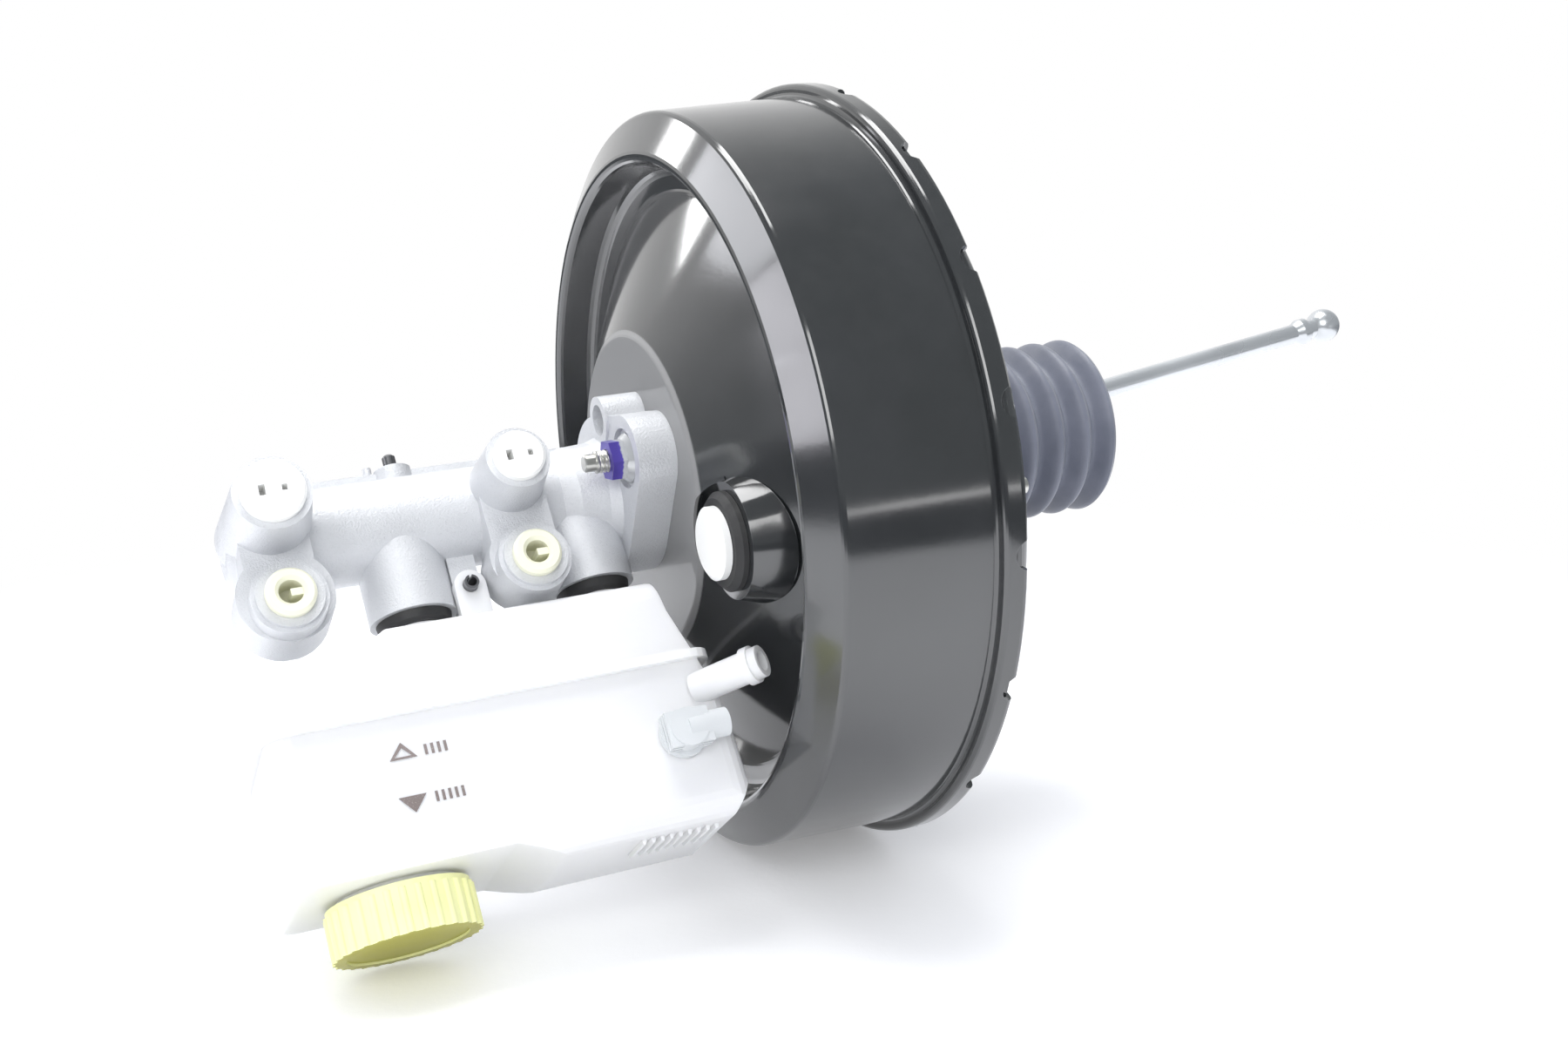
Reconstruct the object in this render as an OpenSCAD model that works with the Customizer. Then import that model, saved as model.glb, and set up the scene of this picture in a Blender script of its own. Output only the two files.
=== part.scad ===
// Vacuum brake booster with its tandem master cylinder and fluid reservoir.
// The origin is on the booster axis, in the rear mounting face. +X points along the axis to the pedal.
// The unit lies as on a bench: reservoir below, turned towards -Y, resting on its cap and crimped rim.
// Bench-turned parts are drawn with the reservoir towards -Z and the outlet ports towards -Y.

/* [Unit] */
// Turn of the master cylinder, reservoir and studs about the booster axis
lean = 35; // [0:1:60]

/* [Booster shell] */
// Radius of the drum wall at its front edge
drum_r = 135; // [128:1:142]
// Growth of the drum radius from the front edge to the seam
drum_draft = 1.5; // [0.5:0.5:3]
// Distance of the drum's front edge from the rear mounting face
shell_depth = 93; // [88:1:100]
// Distance of the crimped seam from the rear mounting face
seam_depth = 40; // [37:1:44]
// Thickness of the pressed steel sheet
sheet = 1.6; // [1.2:0.1:2]
// Radius of the front lip
lip_r = 118; // [114:1:122]
// Axial length of the chamfer between drum and lip
chamfer_run = 9.2; // [7:0.1:11]
// Depth of the recess inside the lip
recess_depth = 16; // [13:0.5:18]
// Width of the rounded floor of the recess
recess_floor = 8; // [6:0.5:12]
// Radius of the flat plate in front of the cone
plate_r = 56.3; // [52:0.1:62]
// Distance of the plate in front of the lip
plate_rise = 7.6; // [6:0.1:10]
// Width of the crimp flange beyond the drum wall
crimp_w = 4.6; // [4:0.1:6]
// Axial length of the crimped skirt
crimp_run = 9; // [8.5:0.5:10]
// Number of crimp lobes
crimp_lobes = 18; // [12:1:24]
// Radius of the rear mounting face
face_r = 62; // [60:1:70]
// Inner radius of the rear neck
neck_r = 30; // [29:0.5:32]
// Length of the rear neck
neck_run = 26; // [24:1:30]

/* [Vacuum port] */
// Distance of the vacuum port from the booster axis
port_off = 72; // [68:1:76]
// Angle of the vacuum port above the -Y direction
port_turn = -4; // [-30:1:30]
// Radius of the raised boss at its face
port_boss_r = 20; // [18:0.5:22]
// Height of the boss face behind the plate
port_drop = 4.5; // [2:0.5:6]
// Radius of the hole for the grommet
port_hole_r = 12; // [10:0.5:13]
// Radius of the plug's disc
port_disc_r = 12.5; // [12:0.5:15]

/* [Rear studs] */
// Radius of the rear mounting studs
stud_r = 4; // [3:0.5:5]
// Distance of the rear studs from the booster axis
stud_off = 50; // [46:1:54]
// Length of the rear studs behind the mounting face
stud_run = 24; // [18:1:30]

/* [Master cylinder] */
// Radius of the cylinder bore
bore_r = 11.9; // [11:0.1:12.7]
// Outer radius of the cast barrel
barrel_r = 17.5; // [16.5:0.5:19]
// Length of the master cylinder in front of the plate
cyl_run = 149; // [146:1:156]
// Thickness of the mounting flange
flange_t = 12; // [10:0.5:14]
// Distance of each flange stud from the axis
flange_off = 32; // [31:0.5:34]
// Radius of the flange round each stud
flange_ear_r = 15; // [13:0.5:16]
// Depth of the spot face round each flange nut
spot_depth = 2; // [1:0.5:3]
// Radius of the flange round the barrel
flange_mid_r = 29; // [27:0.5:31]
// Radius of the spigot that enters the booster
spigot_r = 19.5; // [18:0.1:20]
// Length of the spigot
spigot_run = 16; // [14:0.5:18]
// Distance of the rear outlet ports from the plate
rear_port = 53; // [51:0.5:55]
// Distance of the front outlet ports from the plate
front_port = 135; // [132:0.5:136]
// Radius of the boss round the front side port at its face
front_boss_r = 12.8; // [12:0.1:13.5]
// Radius of the boss round the rear side port at its face
rear_boss_r = 11; // [10.5:0.1:12]
// Growth of the side bosses' radius from the face to the barrel
boss_flare = 3; // [1.5:0.5:3.5]
// Height of the side port faces from the bore axis
side_face = 39; // [36:0.5:42]
// Distance of the side port axis above the bore axis
side_lift = 3; // [1:0.5:4]
// Height of the lower port faces from the bore axis
low_face = 30; // [26:0.5:33]
// Distance of the lower port axis below the bore axis
low_drop = 29; // [28:0.5:30]
// Radius of the bosses round the lower ports
low_boss_r = 12.5; // [12:0.5:13]
// Radius of the plugs in the lower ports
low_plug_r = 8.2; // [8:0.1:9]
// Distance of the rear reservoir inlet from the plate
rear_inlet = 27.5; // [26.5:0.5:28.5]
// Distance of the front reservoir inlet from the plate
front_inlet = 91.8; // [90:0.1:94]
// Radius of the inlet bosses
inlet_boss_r = 15; // [14:0.5:16]
// Distance of the inlet boss faces from the bore axis
inlet_face = 34.5; // [33:0.5:36]
// Radius of the sockets for the reservoir grommets
socket_r = 9.5; // [9:0.1:10.5]
// Distance of the reservoir's retaining lug from the plate
lug_place = 72.5; // [70:0.5:73]

/* [Reservoir] */
// Half the width of the tank
tank_half = 32; // [28:1:36]
// Distance of the tank's near side from the bore axis
tank_near = 44.5; // [44.5:0.5:46]
// Distance of the tank's far side from the bore axis
tank_far = 124; // [120:1:128]
// Distance of the tank's front end from the plate
tank_front = 153; // [150:1:156]
// Thickness of the tank walls
tank_wall = 2.4; // [1.8:0.1:3]
// Radius of the tank's rounded edges
tank_round = 8; // [5:0.5:9]
// Extra depth of the tank at its rear end
tank_sump = 6; // [3:0.5:8]
// Distance of the filler neck from the plate
neck_place = 118.3; // [114:0.1:122]
// Outer radius of the filler neck
filler_r = 20; // [19:0.5:21]
// Outer radius of the cap
cap_r = 24.3; // [23.5:0.1:26]
// Height of the cap
cap_h = 17; // [15:0.5:19]

/* [Valve and rods] */
// Forward stroke of the booster and primary piston
stroke = 32; // [26:1:33]
// Forward stroke of the valve plunger inside the valve body
plunger_stroke = 2; // [1:0.1:2.2]
// Radius of the valve body's sliding barrel
valve_r = 24; // [22:0.5:25]
// Radius of the chamber inside the valve body
chamber_r = 17.5; // [17:0.1:18]
// Length of the valve body behind the mounting face
valve_tail = 72; // [68:1:74]
// Radius of the push rod
rod_r = 4; // [3.5:0.1:4.2]
// Length of the push rod from pivot to ball
rod_run = 213; // [180:1:230]
// Upward tilt of the push rod at rest
rod_tilt = 7; // [0:0.5:8]
// Radius of the ball at the pedal end
rod_ball_r = 7; // [6:0.5:8]

/* [Boot] */
// Outer radius of the boot's folds
fold_r = 34; // [33:0.5:37]
// Depth of the boot's folds
fold_depth = 5.5; // [4:0.5:6]
// Number of folds
folds = 4; // [3:1:4]
// Distance from one fold to the next
fold_pitch = 12; // [11:0.5:12]
// Thickness of the boot's wall
boot_wall = 2; // [1.5:0.1:2.5]

/* [Fits] */
// Radial clearance of a sliding fit
slide_gap = 0.05; // [0.02:0.01:0.1]
// Clearance between seated pieces
seat_gap = 0.15; // [0.1:0.05:0.25]
// Clearance between pieces that only pass each other
free_gap = 0.3; // [0.3:0.1:0.6]

/* [Hidden] */

// Smoothness of turned surfaces
round_fn = 96;
small_fn = 40;

// Stations along the axis
seam_x = -seam_depth;
edge_x = -shell_depth;
lip_x = edge_x - chamfer_run;
plate_x = lip_x - plate_rise;
recess_x = lip_x + recess_depth;
flange_x = plate_x - flange_t;
cyl_front_x = plate_x - cyl_run;
drum_rear_r = drum_r + drum_draft;
crimp_r = drum_rear_r + crimp_w;
rim_x = seam_x + crimp_run;
rear_flange_r = crimp_r - sheet - 2 * free_gap;
rear_flange_x = rim_x - sheet - 0.1;
notch_r = 5;
notch_turn = 3;

// Vacuum port
port_y = -port_off * cos(port_turn);
port_z = port_off * sin(port_turn);
port_x = plate_x + port_drop;

// Rear studs have a thicker neck in the sheet
stud_neck_r = stud_r + 0.5;

// Front plate parts
hole_r = spigot_r + 1;
brace_t = 2.5;
brace_r = 46;
brace_x = plate_x + sheet;
brace_back = brace_x + brace_t;
head_r = 6;

// Valve body stations; the hub stands off by the stroke and the packed return spring
spring_packed = 35.7;
hub_x = brace_back + stroke + spring_packed;
hub_t = 8;
hub_r = 40;
disc_seat = 10;
disc_x = hub_x + disc_seat;
disc_r = 12;
pivot_x = -7;
pivot_ball_r = 5;
plunger_r = 7;
plunger_front = disc_x + plunger_stroke + 0.5;
chamber_x = pivot_x - 1;
tail_r = 19;
tail_x = neck_run + 22;

// Valve chamber and springs
retainer_x = 21;
filter_x = 30;
filter_run = 14;
coil_r = bore_r - 3.3;
coil_wire = 1.1;
return_r = 33;
return_wire = 1.8;

// Cylinder stations
bore_end = cyl_front_x + 7;
spigot_x = plate_x + spigot_run;
piston_r = bore_r - slide_gap;
rear_inlet_x = plate_x - rear_inlet;
front_inlet_x = plate_x - front_inlet;
rear_port_x = plate_x - rear_port;
front_port_x = plate_x - front_port;
lug_x = plate_x - lug_place;
primary_front = rear_inlet_x - 10;
secondary_front = front_inlet_x - 10;
secondary_run = 32;
cup_w = 4;
cup_depth = 2.6;
snap_x = spigot_x - 4;
snap_t = 1.5;
tail_piston_r = 8;

// Reservoir stations
neck_x = plate_x - neck_place;
neck_top = tank_far + cap_h - 4;
cap_top = tank_far + 1 + cap_h;
cap_t = 2.5;
float_x = plate_x - 42;
float_r = 11;
float_h = 14;
float_far = tank_far + tank_sump - tank_wall - 0.4;
post_r = 3;
pin_z = -29;
pin_r = 2.5;
lug_r = 5.5;
rear_body_r = low_boss_r + 0.9;
front_body_r = low_boss_r + 3.5;
eye_side = 20;
eye_rise = 21;
eye_r = 8.5;
eye_hole_r = 5.6;
pin_top = barrel_r + 10;

// Boot stations
boot_start = neck_run - 9;
fold_start = neck_run + 6;
last_fold = fold_start + fold_pitch * (folds - 0.5);

// Moves a shape modelled along Z onto the booster axis
module along_x() {
    rotate([0, 90, 0]) children();
}

// Solid of revolution about the booster axis; points are [radius, place along the axis]
module turned(profile, fn = round_fn) {
    along_x() rotate_extrude($fn = fn) polygon(profile);
}

// Ring about the booster axis
module ring(x0, x1, r0, r1, fn = round_fn) {
    turned([[r0, x0], [r1, x0], [r1, x1], [r0, x1]], fn);
}

// Cylinder on the booster axis
module shaft(x0, x1, r, fn = round_fn) {
    translate([x0, 0, 0]) along_x() cylinder(h = x1 - x0, r = r, $fn = fn);
}

// Turns a bench-drawn part to the lean of the unit
module leaned() {
    rotate([-lean, 0, 0]) children();
}

// Cylinder that points to the port side, from y0 to y1 below the XZ plane
module side_bar(x, z, y0, y1, r, fn = small_fn) {
    translate([x, -y0, z]) rotate([90, 0, 0]) cylinder(h = y1 - y0, r = r, $fn = fn);
}

// Cylinder that points to the reservoir, from u0 to u1 below the axis
module down_bar(x, y, u0, u1, r, fn = small_fn) {
    translate([x, y, -u1]) cylinder(h = u1 - u0, r = r, $fn = fn);
}

// Hexagonal bar on the booster axis, given across its flats
module hex_bar(x0, x1, flats) {
    translate([x0, 0, 0]) along_x() cylinder(h = x1 - x0, r = flats / sqrt(3), $fn = 6);
}

function unit(v) = v / norm(v);
function right_of(v) = [v[1], -v[0]];

// Offset of one point of a path to its right side by t
function shifted(path, i, t) =
    let (last = len(path) - 1,
        a = i == 0 ? path[1] - path[0] : path[i] - path[i - 1],
        b = i == last ? path[last] - path[last - 1] : path[i + 1] - path[i],
        n = right_of(unit(a)),
        m = right_of(unit(b)))
    path[i] + (n + m) * t / (1 + n * m);

// Closed outline of a sheet of thickness t that lies to the right of a path
function sheet_of(path, t) =
    concat(path, [for (i = [len(path) - 1:-1:0]) shifted(path, i, t)]);

// Arc of n steps that rounds the corner b between a and c
function corner(a, b, c, r, n) =
    let (u = unit(a - b),
        v = unit(c - b),
        half = acos(u * v) / 2,
        centre = b + unit(u + v) * r / sin(half),
        p = b + u * r / tan(half) - centre,
        q = b + v * r / tan(half) - centre,
        start = atan2(p[1], p[0]),
        turn = atan2(q[1], q[0]) - start,
        sweep = turn > 180 ? turn - 360 : turn < -180 ? turn + 360 : turn)
    [for (i = [0:n]) centre + r * [cos(start + sweep * i / n), sin(start + sweep * i / n)]];

// Open path with every inner corner rounded
function rounded(path, r, n = 4) =
    concat([path[0]],
        [for (i = [1:len(path) - 2]) each corner(path[i - 1], path[i], path[i + 1], r, n)],
        [path[len(path) - 1]]);

// Closed outline with every corner rounded
function rounded_loop(path, r, n = 5) =
    let (k = len(path))
    [for (i = [0:k - 1]) each corner(path[(i + k - 1) % k], path[i], path[(i + 1) % k], r, n)];

// Points of one ring of a coil's wire
function wire_ring(x, angle, coil_r, wire_r, sides) =
    [for (j = [0:sides - 1])
        let (a = 360 * j / sides, r = coil_r + wire_r * cos(a))
        [x + wire_r * sin(a), r * cos(angle), r * sin(angle)]];

// Coil spring about the booster axis, with its end turns closed up
module coil(x0, x1, coil_r, wire_r, turns, steps, sides = 6) {
    total = turns * steps;
    span = x1 - x0 - 2 * wire_r;
    rings = [for (i = [0:total])
        let (t = i / total, s = t < 0.15 ? t * 0.3 : t > 0.85 ? 1 - (1 - t) * 0.3 : 0.045 + (t - 0.15) * 1.3)
        wire_ring(x0 + wire_r + span * s, 360 * i / steps, coil_r, wire_r, sides)];
    points = [for (one = rings) each one];
    walls = [for (i = [0:total - 1], j = [0:sides - 1])
        let (a = i * sides + j, b = i * sides + (j + 1) % sides)
        [a, b, b + sides, a + sides]];
    polyhedron(points, concat([[for (j = [sides - 1:-1:0]) j]], walls,
        [[for (j = [0:sides - 1]) total * sides + j]]), convexity = 10);
}

// Path of the front shell's outer surface, from the crimped skirt to the spigot hole
front_path = concat(
    [[drum_rear_r - 2, rim_x]],
    corner([drum_rear_r - 2, rim_x], [crimp_r, rim_x], [crimp_r, seam_x], 2.2, 3),
    corner([crimp_r, rim_x], [crimp_r, seam_x], [drum_rear_r, seam_x], 2, 4),
    corner([crimp_r, seam_x], [drum_rear_r, seam_x], [drum_r, edge_x], 1.5, 3),
    corner([drum_rear_r, seam_x], [drum_r, edge_x], [lip_r, lip_x], 2.5, 3),
    corner([drum_r, edge_x], [lip_r, lip_x], [lip_r - 3.5, recess_x], 3, 5),
    corner([lip_r, lip_x], [lip_r - 3.5, recess_x], [lip_r - 3.5 - recess_floor, recess_x + 1.5], 4, 3),
    corner([lip_r - 3.5, recess_x], [lip_r - 3.5 - recess_floor, recess_x + 1.5], [plate_r, plate_x], 4, 3),
    corner([lip_r - recess_floor, recess_x], [plate_r, plate_x], [hole_r, plate_x], 4, 2),
    [[hole_r, plate_x]]);

module front_shell() color([0.05, 0.05, 0.06]) difference() {
    union() {
        turned(sheet_of(front_path, sheet));
        intersection() {
            translate([port_x, port_y, port_z]) along_x()
                cylinder(h = 30, r1 = port_boss_r, r2 = port_boss_r + 9);
            turned([[hole_r, plate_x - 1], [lip_r - 6, plate_x - 1], [lip_r - 6, recess_x + 2],
                [plate_r, plate_x + sheet], [hole_r, plate_x + sheet]]);
        }
        intersection() {
            translate([plate_x, port_y, port_z]) along_x()
                cylinder(h = port_drop + sheet, r = port_boss_r + sheet);
            turned([[hole_r, plate_x], [plate_r, plate_x], [lip_r - 3.5 - recess_floor, recess_x],
                [lip_r - 3.5 - recess_floor, seam_x], [hole_r, seam_x]]);
        }
    }
    translate([plate_x - 1, port_y, port_z]) along_x() cylinder(h = port_drop + 1, r = port_boss_r);
    translate([port_x + sheet, port_y, port_z]) along_x()
        cylinder(h = 30, r1 = port_boss_r - sheet, r2 = port_boss_r + 9 - sheet);
    translate([port_x - 1, port_y, port_z]) along_x() cylinder(h = 30, r = port_hole_r, $fn = small_fn);
    leaned() for (side = [-1, 1])
        translate([plate_x - 1, side * flange_off, 0]) along_x()
            cylinder(h = sheet + 2, r = stud_r + seat_gap, $fn = small_fn);
    for (i = [0:crimp_lobes - 1])
        rotate([notch_turn + 90 + 360 * i / crimp_lobes, 0, 0])
            translate([rim_x, 0, drum_rear_r - 4]) cylinder(h = crimp_w + 8, r = notch_r, $fn = small_fn);
}

// Path of the rear shell's outer surface, from the crimped flange to the neck's end
rear_path = concat(
    [[rear_flange_r, rear_flange_x]],
    corner([rear_flange_r, rear_flange_x], [drum_rear_r - 6, rear_flange_x],
        [drum_rear_r - 12, rim_x + 10], 4, 4),
    corner([drum_rear_r - 6, rear_flange_x], [drum_rear_r - 12, rim_x + 10], [face_r + 18, -12], 6, 4),
    corner([drum_rear_r - 12, rim_x + 10], [face_r + 18, -12], [face_r, 0], 8, 4),
    corner([face_r + 18, -12], [face_r, 0], [neck_r + sheet, 0], 4, 4),
    corner([face_r, 0], [neck_r + sheet, 0], [neck_r + sheet, neck_run], 2, 3),
    [[neck_r + sheet, neck_run]]);

module rear_shell() color([0.05, 0.05, 0.06]) difference() {
    turned(sheet_of(rear_path, -sheet));
    leaned() mount_holes(-5, 5, stud_neck_r + seat_gap);
}

// The four places of the rear studs
module mount_holes(x0, x1, r) {
    for (i = [0:3])
        rotate([45 + 90 * i, 0, 0])
            translate([x0, 0, stud_off]) along_x() cylinder(h = x1 - x0, r = r, $fn = small_fn);
}

module mount_studs() color("silver") leaned() {
    mount_holes(-sheet - 3, -sheet, stud_r * 2);
    mount_holes(-sheet, 0, stud_neck_r);
    mount_holes(0, stud_run - 4, stud_r);
    mount_holes(stud_run - 4, stud_run, stud_r - 0.8);
}

module reinforcement() color([0.35, 0.35, 0.37]) difference() {
    ring(brace_x, brace_back, hole_r, brace_r);
    leaned() for (side = [-1, 1])
        translate([brace_x - 1, side * flange_off, 0]) along_x()
            cylinder(h = brace_t + 2, r = head_r + seat_gap, $fn = small_fn);
}

module flange_studs() color("silver") leaned() for (side = [-1, 1])
    translate([0, side * flange_off, 0]) {
        shaft(brace_x, brace_back - 0.1, head_r, small_fn);
        shaft(flange_x - 13, brace_x, stud_r, small_fn);
        shaft(flange_x - 17, flange_x - 13, stud_r - 0.9, small_fn);
    }

module flange_nuts() color([0.25, 0.2, 0.75]) leaned() for (side = [-1, 1])
    translate([0, side * flange_off, 0]) difference() {
        union() {
            turned([[0, flange_x - 3.2], [7, flange_x - 3.2], [8.8, flange_x - 1.2],
                [8.8, flange_x], [0, flange_x]], small_fn);
            hex_bar(flange_x - 8.5, flange_x - 3, 13);
        }
        shaft(flange_x - 10, flange_x + 1, stud_r + 0.1, small_fn);
    }

module spigot_seal() color([0.1, 0.1, 0.1])
    ring(plate_x + 0.2, plate_x + 3.4, spigot_r - 1.8 + seat_gap, hole_r - 0.1);

module vacuum_grommet() color([0.1, 0.1, 0.11]) translate([0, port_y, port_z])
    turned([[port_hole_r - 5, port_x - 4], [port_hole_r + 3, port_x - 4], [port_hole_r + 5, port_x - 2],
        [port_hole_r + 5, port_x - 0.1], [port_hole_r - seat_gap, port_x - 0.1],
        [port_hole_r - seat_gap, port_x + sheet + 0.1], [port_hole_r + 1.5, port_x + sheet + 0.1],
        [port_hole_r + 1, port_x + sheet + 3], [port_hole_r - 1, port_x + sheet + 6],
        [port_hole_r - 5, port_x + sheet + 6]], small_fn);

module vacuum_plug() color([0.93, 0.93, 0.92]) translate([0, port_y, port_z])
    turned([[0, port_x - 7.6], [port_disc_r - 1.5, port_x - 7.6], [port_disc_r, port_x - 6.6],
        [port_disc_r, port_x - 4.1], [port_hole_r - 5 - seat_gap, port_x - 4.1],
        [port_hole_r - 5 - seat_gap, port_x + 6], [port_hole_r - 6.5, port_x + 9],
        [0, port_x + 9]], small_fn);

// One casting: barrel, flange with its eye and spot faces, port bosses, inlets, lug and the stepped bore
module cylinder_body() color([0.72, 0.73, 0.75]) leaned() difference() {
    union() {
        turned([[0, cyl_front_x], [9, cyl_front_x], [13, cyl_front_x + 2], [barrel_r - 0.5, cyl_front_x + 8],
            [barrel_r, cyl_front_x + 16], [barrel_r, flange_x - 22], [barrel_r + 2, flange_x - 16],
            [barrel_r + 2.5, flange_x - 6], [barrel_r + 5, flange_x + 1], [0, flange_x + 1]]);
        translate([flange_x - spot_depth, 0, 0]) along_x()
            linear_extrude(flange_t + spot_depth) flange_outline();
        translate([0, -eye_side, eye_rise]) shaft(flange_x - spot_depth - 1, plate_x, eye_r, small_fn);
        shaft(plate_x, spigot_x, spigot_r);
        for (port = ports) {
            translate([port[0], 0, side_lift]) rotate([90, 0, 0])
                cylinder(h = side_face, r1 = port[1] + boss_flare, r2 = port[1], $fn = small_fn);
            side_bar(port[0], -low_drop, 6, low_face - 2, low_boss_r);
            side_bar(port[0], -low_drop, 6, low_face, low_boss_r - 1.5);
            side_bar(port[0], -low_drop + 3, 3, low_face - 9, port[2]);
            translate([port[0] - low_boss_r + 1, -low_face + 9, -low_drop + 3])
                cube([2 * low_boss_r - 2, low_face - 12, low_drop]);
        }
        for (x = [rear_inlet_x, front_inlet_x])
            down_bar(x, 0, 0, inlet_face, inlet_boss_r);
        side_bar(lug_x, pin_z, -ear_gap + 0.8, ear_gap - 0.8, lug_r);
        translate([lug_x - lug_r + 0.7, -ear_gap + 0.8, pin_z])
            cube([2 * lug_r - 1.4, 2 * ear_gap - 1.6, 16]);
        down_bar(stop_x, 0, -barrel_r - 4, 0, 6.5);
        down_bar(stop_x - 8.5, 0, -barrel_r - 6, 0, 1.5);
        translate([cyl_front_x + 24, -2, 0]) cube([cyl_run - flange_t - 30, 4, barrel_r + 3]);
    }
    turned([[0, bore_end - 3], [bore_r, bore_end], [bore_r, spigot_x + 1], [0, spigot_x + 1]]);
    ring(snap_x - 0.1, snap_x + snap_t + 0.1, bore_r - 1, bore_r + 1.6);
    for (x = concat(primary_cup_x, secondary_cup_x))
        ring(x - seat_gap, x + cup_w + seat_gap, bore_r - 1, bore_r + cup_depth);
    ring(plate_x, plate_x + 3.6, spigot_r - 1.8, spigot_r + 1);
    for (x = [rear_port_x, front_port_x]) {
        side_bar(x, side_lift, 0, side_face + 1, outlet_bore_r);
        side_bar(x, side_lift, side_face - 9, side_face + 1, outlet_thread_r);
        side_bar(x, -low_drop, low_face - 20, low_face + 1, outlet_bore_r);
        side_bar(x, -low_drop, low_face - 12, low_face + 1, outlet_thread_r);
        translate([x, -barrel_r, -low_drop]) cylinder(h = low_drop + side_lift, r = 2, $fn = small_fn);
    }
    for (x = [rear_inlet_x, front_inlet_x]) {
        down_bar(x, 0, inlet_face - 13, inlet_face + 1, socket_r);
        down_bar(x, 0, 0, inlet_face, 3);
    }
    side_bar(lug_x, pin_z, -10, 10, pin_r + seat_gap);
    down_bar(stop_x, 0, -barrel_r - 6, 0, stop_r + seat_gap);
    translate([0, -eye_side, eye_rise]) shaft(flange_x - spot_depth - 2, plate_x + 1, eye_hole_r, small_fn);
    for (side = [-1, 1])
        translate([0, side * flange_off, 0]) shaft(flange_x - spot_depth - 1, flange_x, spot_r, small_fn);
    leaned_flange_holes();
}

// Each port pair: place, radius of the side boss at its face, radius of the body behind the lower boss
ports = [[rear_port_x, rear_boss_r, rear_body_r], [front_port_x, front_boss_r, front_body_r]];
outlet_bore_r = 3;
outlet_thread_r = 6.6;
spot_r = 10.6;
stop_x = front_inlet_x + 5;
stop_r = 2.3;
primary_cup_x = [rear_inlet_x - 8, rear_inlet_x + 8];
secondary_cup_x = [front_inlet_x - 8, front_inlet_x + 8];

module leaned_flange_holes() for (side = [-1, 1])
    translate([0, side * flange_off, 0]) shaft(flange_x - 2, plate_x + 1, stud_r + 0.3, small_fn);

// Arc of points about a centre, from one angle to another
function arc(centre, r, from, to, n) =
    [for (i = [0:n]) centre + r * [cos(from + (to - from) * i / n), sin(from + (to - from) * i / n)]];

// Oval flange: two ears joined to the middle disc by straight tangents
module flange_outline() {
    tilt = asin((flange_mid_r - flange_ear_r) / flange_off);
    polygon(concat(
        arc([0, flange_off], flange_ear_r, tilt, 180 - tilt, 16),
        arc([0, 0], flange_mid_r, 180 - tilt, 180 + tilt, 8),
        arc([0, -flange_off], flange_ear_r, 180 + tilt, 360 - tilt, 16),
        arc([0, 0], flange_mid_r, -tilt, tilt, 8)));
}

module primary_piston() color([0.6, 0.6, 0.62])
    turned([[0, primary_front + 6], [6, primary_front + 6], [6, primary_front],
        [piston_r - 0.6, primary_front], [piston_r, primary_front + 1], [piston_r, snap_x - 1.2],
        [tail_piston_r, snap_x - 1.2], [tail_piston_r, spigot_x + 10], [5.6, spigot_x + 10],
        [5.6, spigot_x - 4], [0, spigot_x - 6]], small_fn);

module secondary_piston() color([0.6, 0.6, 0.62])
    turned([[0, secondary_front + 7], [6, secondary_front + 7], [6, secondary_front],
        [piston_r - 0.6, secondary_front], [piston_r, secondary_front + 1],
        [piston_r, secondary_front + secondary_run - 1], [piston_r - 0.6, secondary_front + secondary_run],
        [6, secondary_front + secondary_run], [6, secondary_front + secondary_run - 7],
        [0, secondary_front + secondary_run - 7]], small_fn);

// Rubber cup with a flat back and a lip
module cup(x)
    turned([[piston_r + slide_gap, x], [bore_r + cup_depth - seat_gap, x],
        [bore_r + cup_depth - seat_gap, x + cup_w], [bore_r + 1.6, x + cup_w], [bore_r + 1.2, x + 1.6],
        [bore_r + 0.6, x + 1.6], [piston_r + slide_gap, x + cup_w]], small_fn);

module primary_cups() color([0.12, 0.12, 0.12]) for (x = primary_cup_x) cup(x);

module secondary_cups() color([0.12, 0.12, 0.12]) for (x = secondary_cup_x) cup(x);

module primary_spring() color([0.75, 0.75, 0.78])
    coil(secondary_front + secondary_run + free_gap, primary_front - free_gap,
        coil_r, coil_wire, 5, 14);

module secondary_spring() color([0.75, 0.75, 0.78])
    coil(bore_end + free_gap, secondary_front - free_gap, coil_r, coil_wire, 7, 14);

module snap_ring() color([0.3, 0.3, 0.32]) difference() {
    ring(snap_x, snap_x + snap_t, tail_piston_r + 0.4, bore_r + 1.5, small_fn);
    translate([snap_x - 1, -2, -bore_r - 3]) cube([snap_t + 2, 4, bore_r]);
}

module stop_bolt() color([0.45, 0.46, 0.48]) leaned() translate([stop_x, 0, 0]) {
    translate([0, 0, bore_r + 1.5]) cylinder(h = pin_top - bore_r - 2.3, r = stop_r, $fn = small_fn);
    translate([0, 0, pin_top - 0.8]) cylinder(h = 0.8, r1 = stop_r, r2 = stop_r - 0.8, $fn = small_fn);
}

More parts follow.
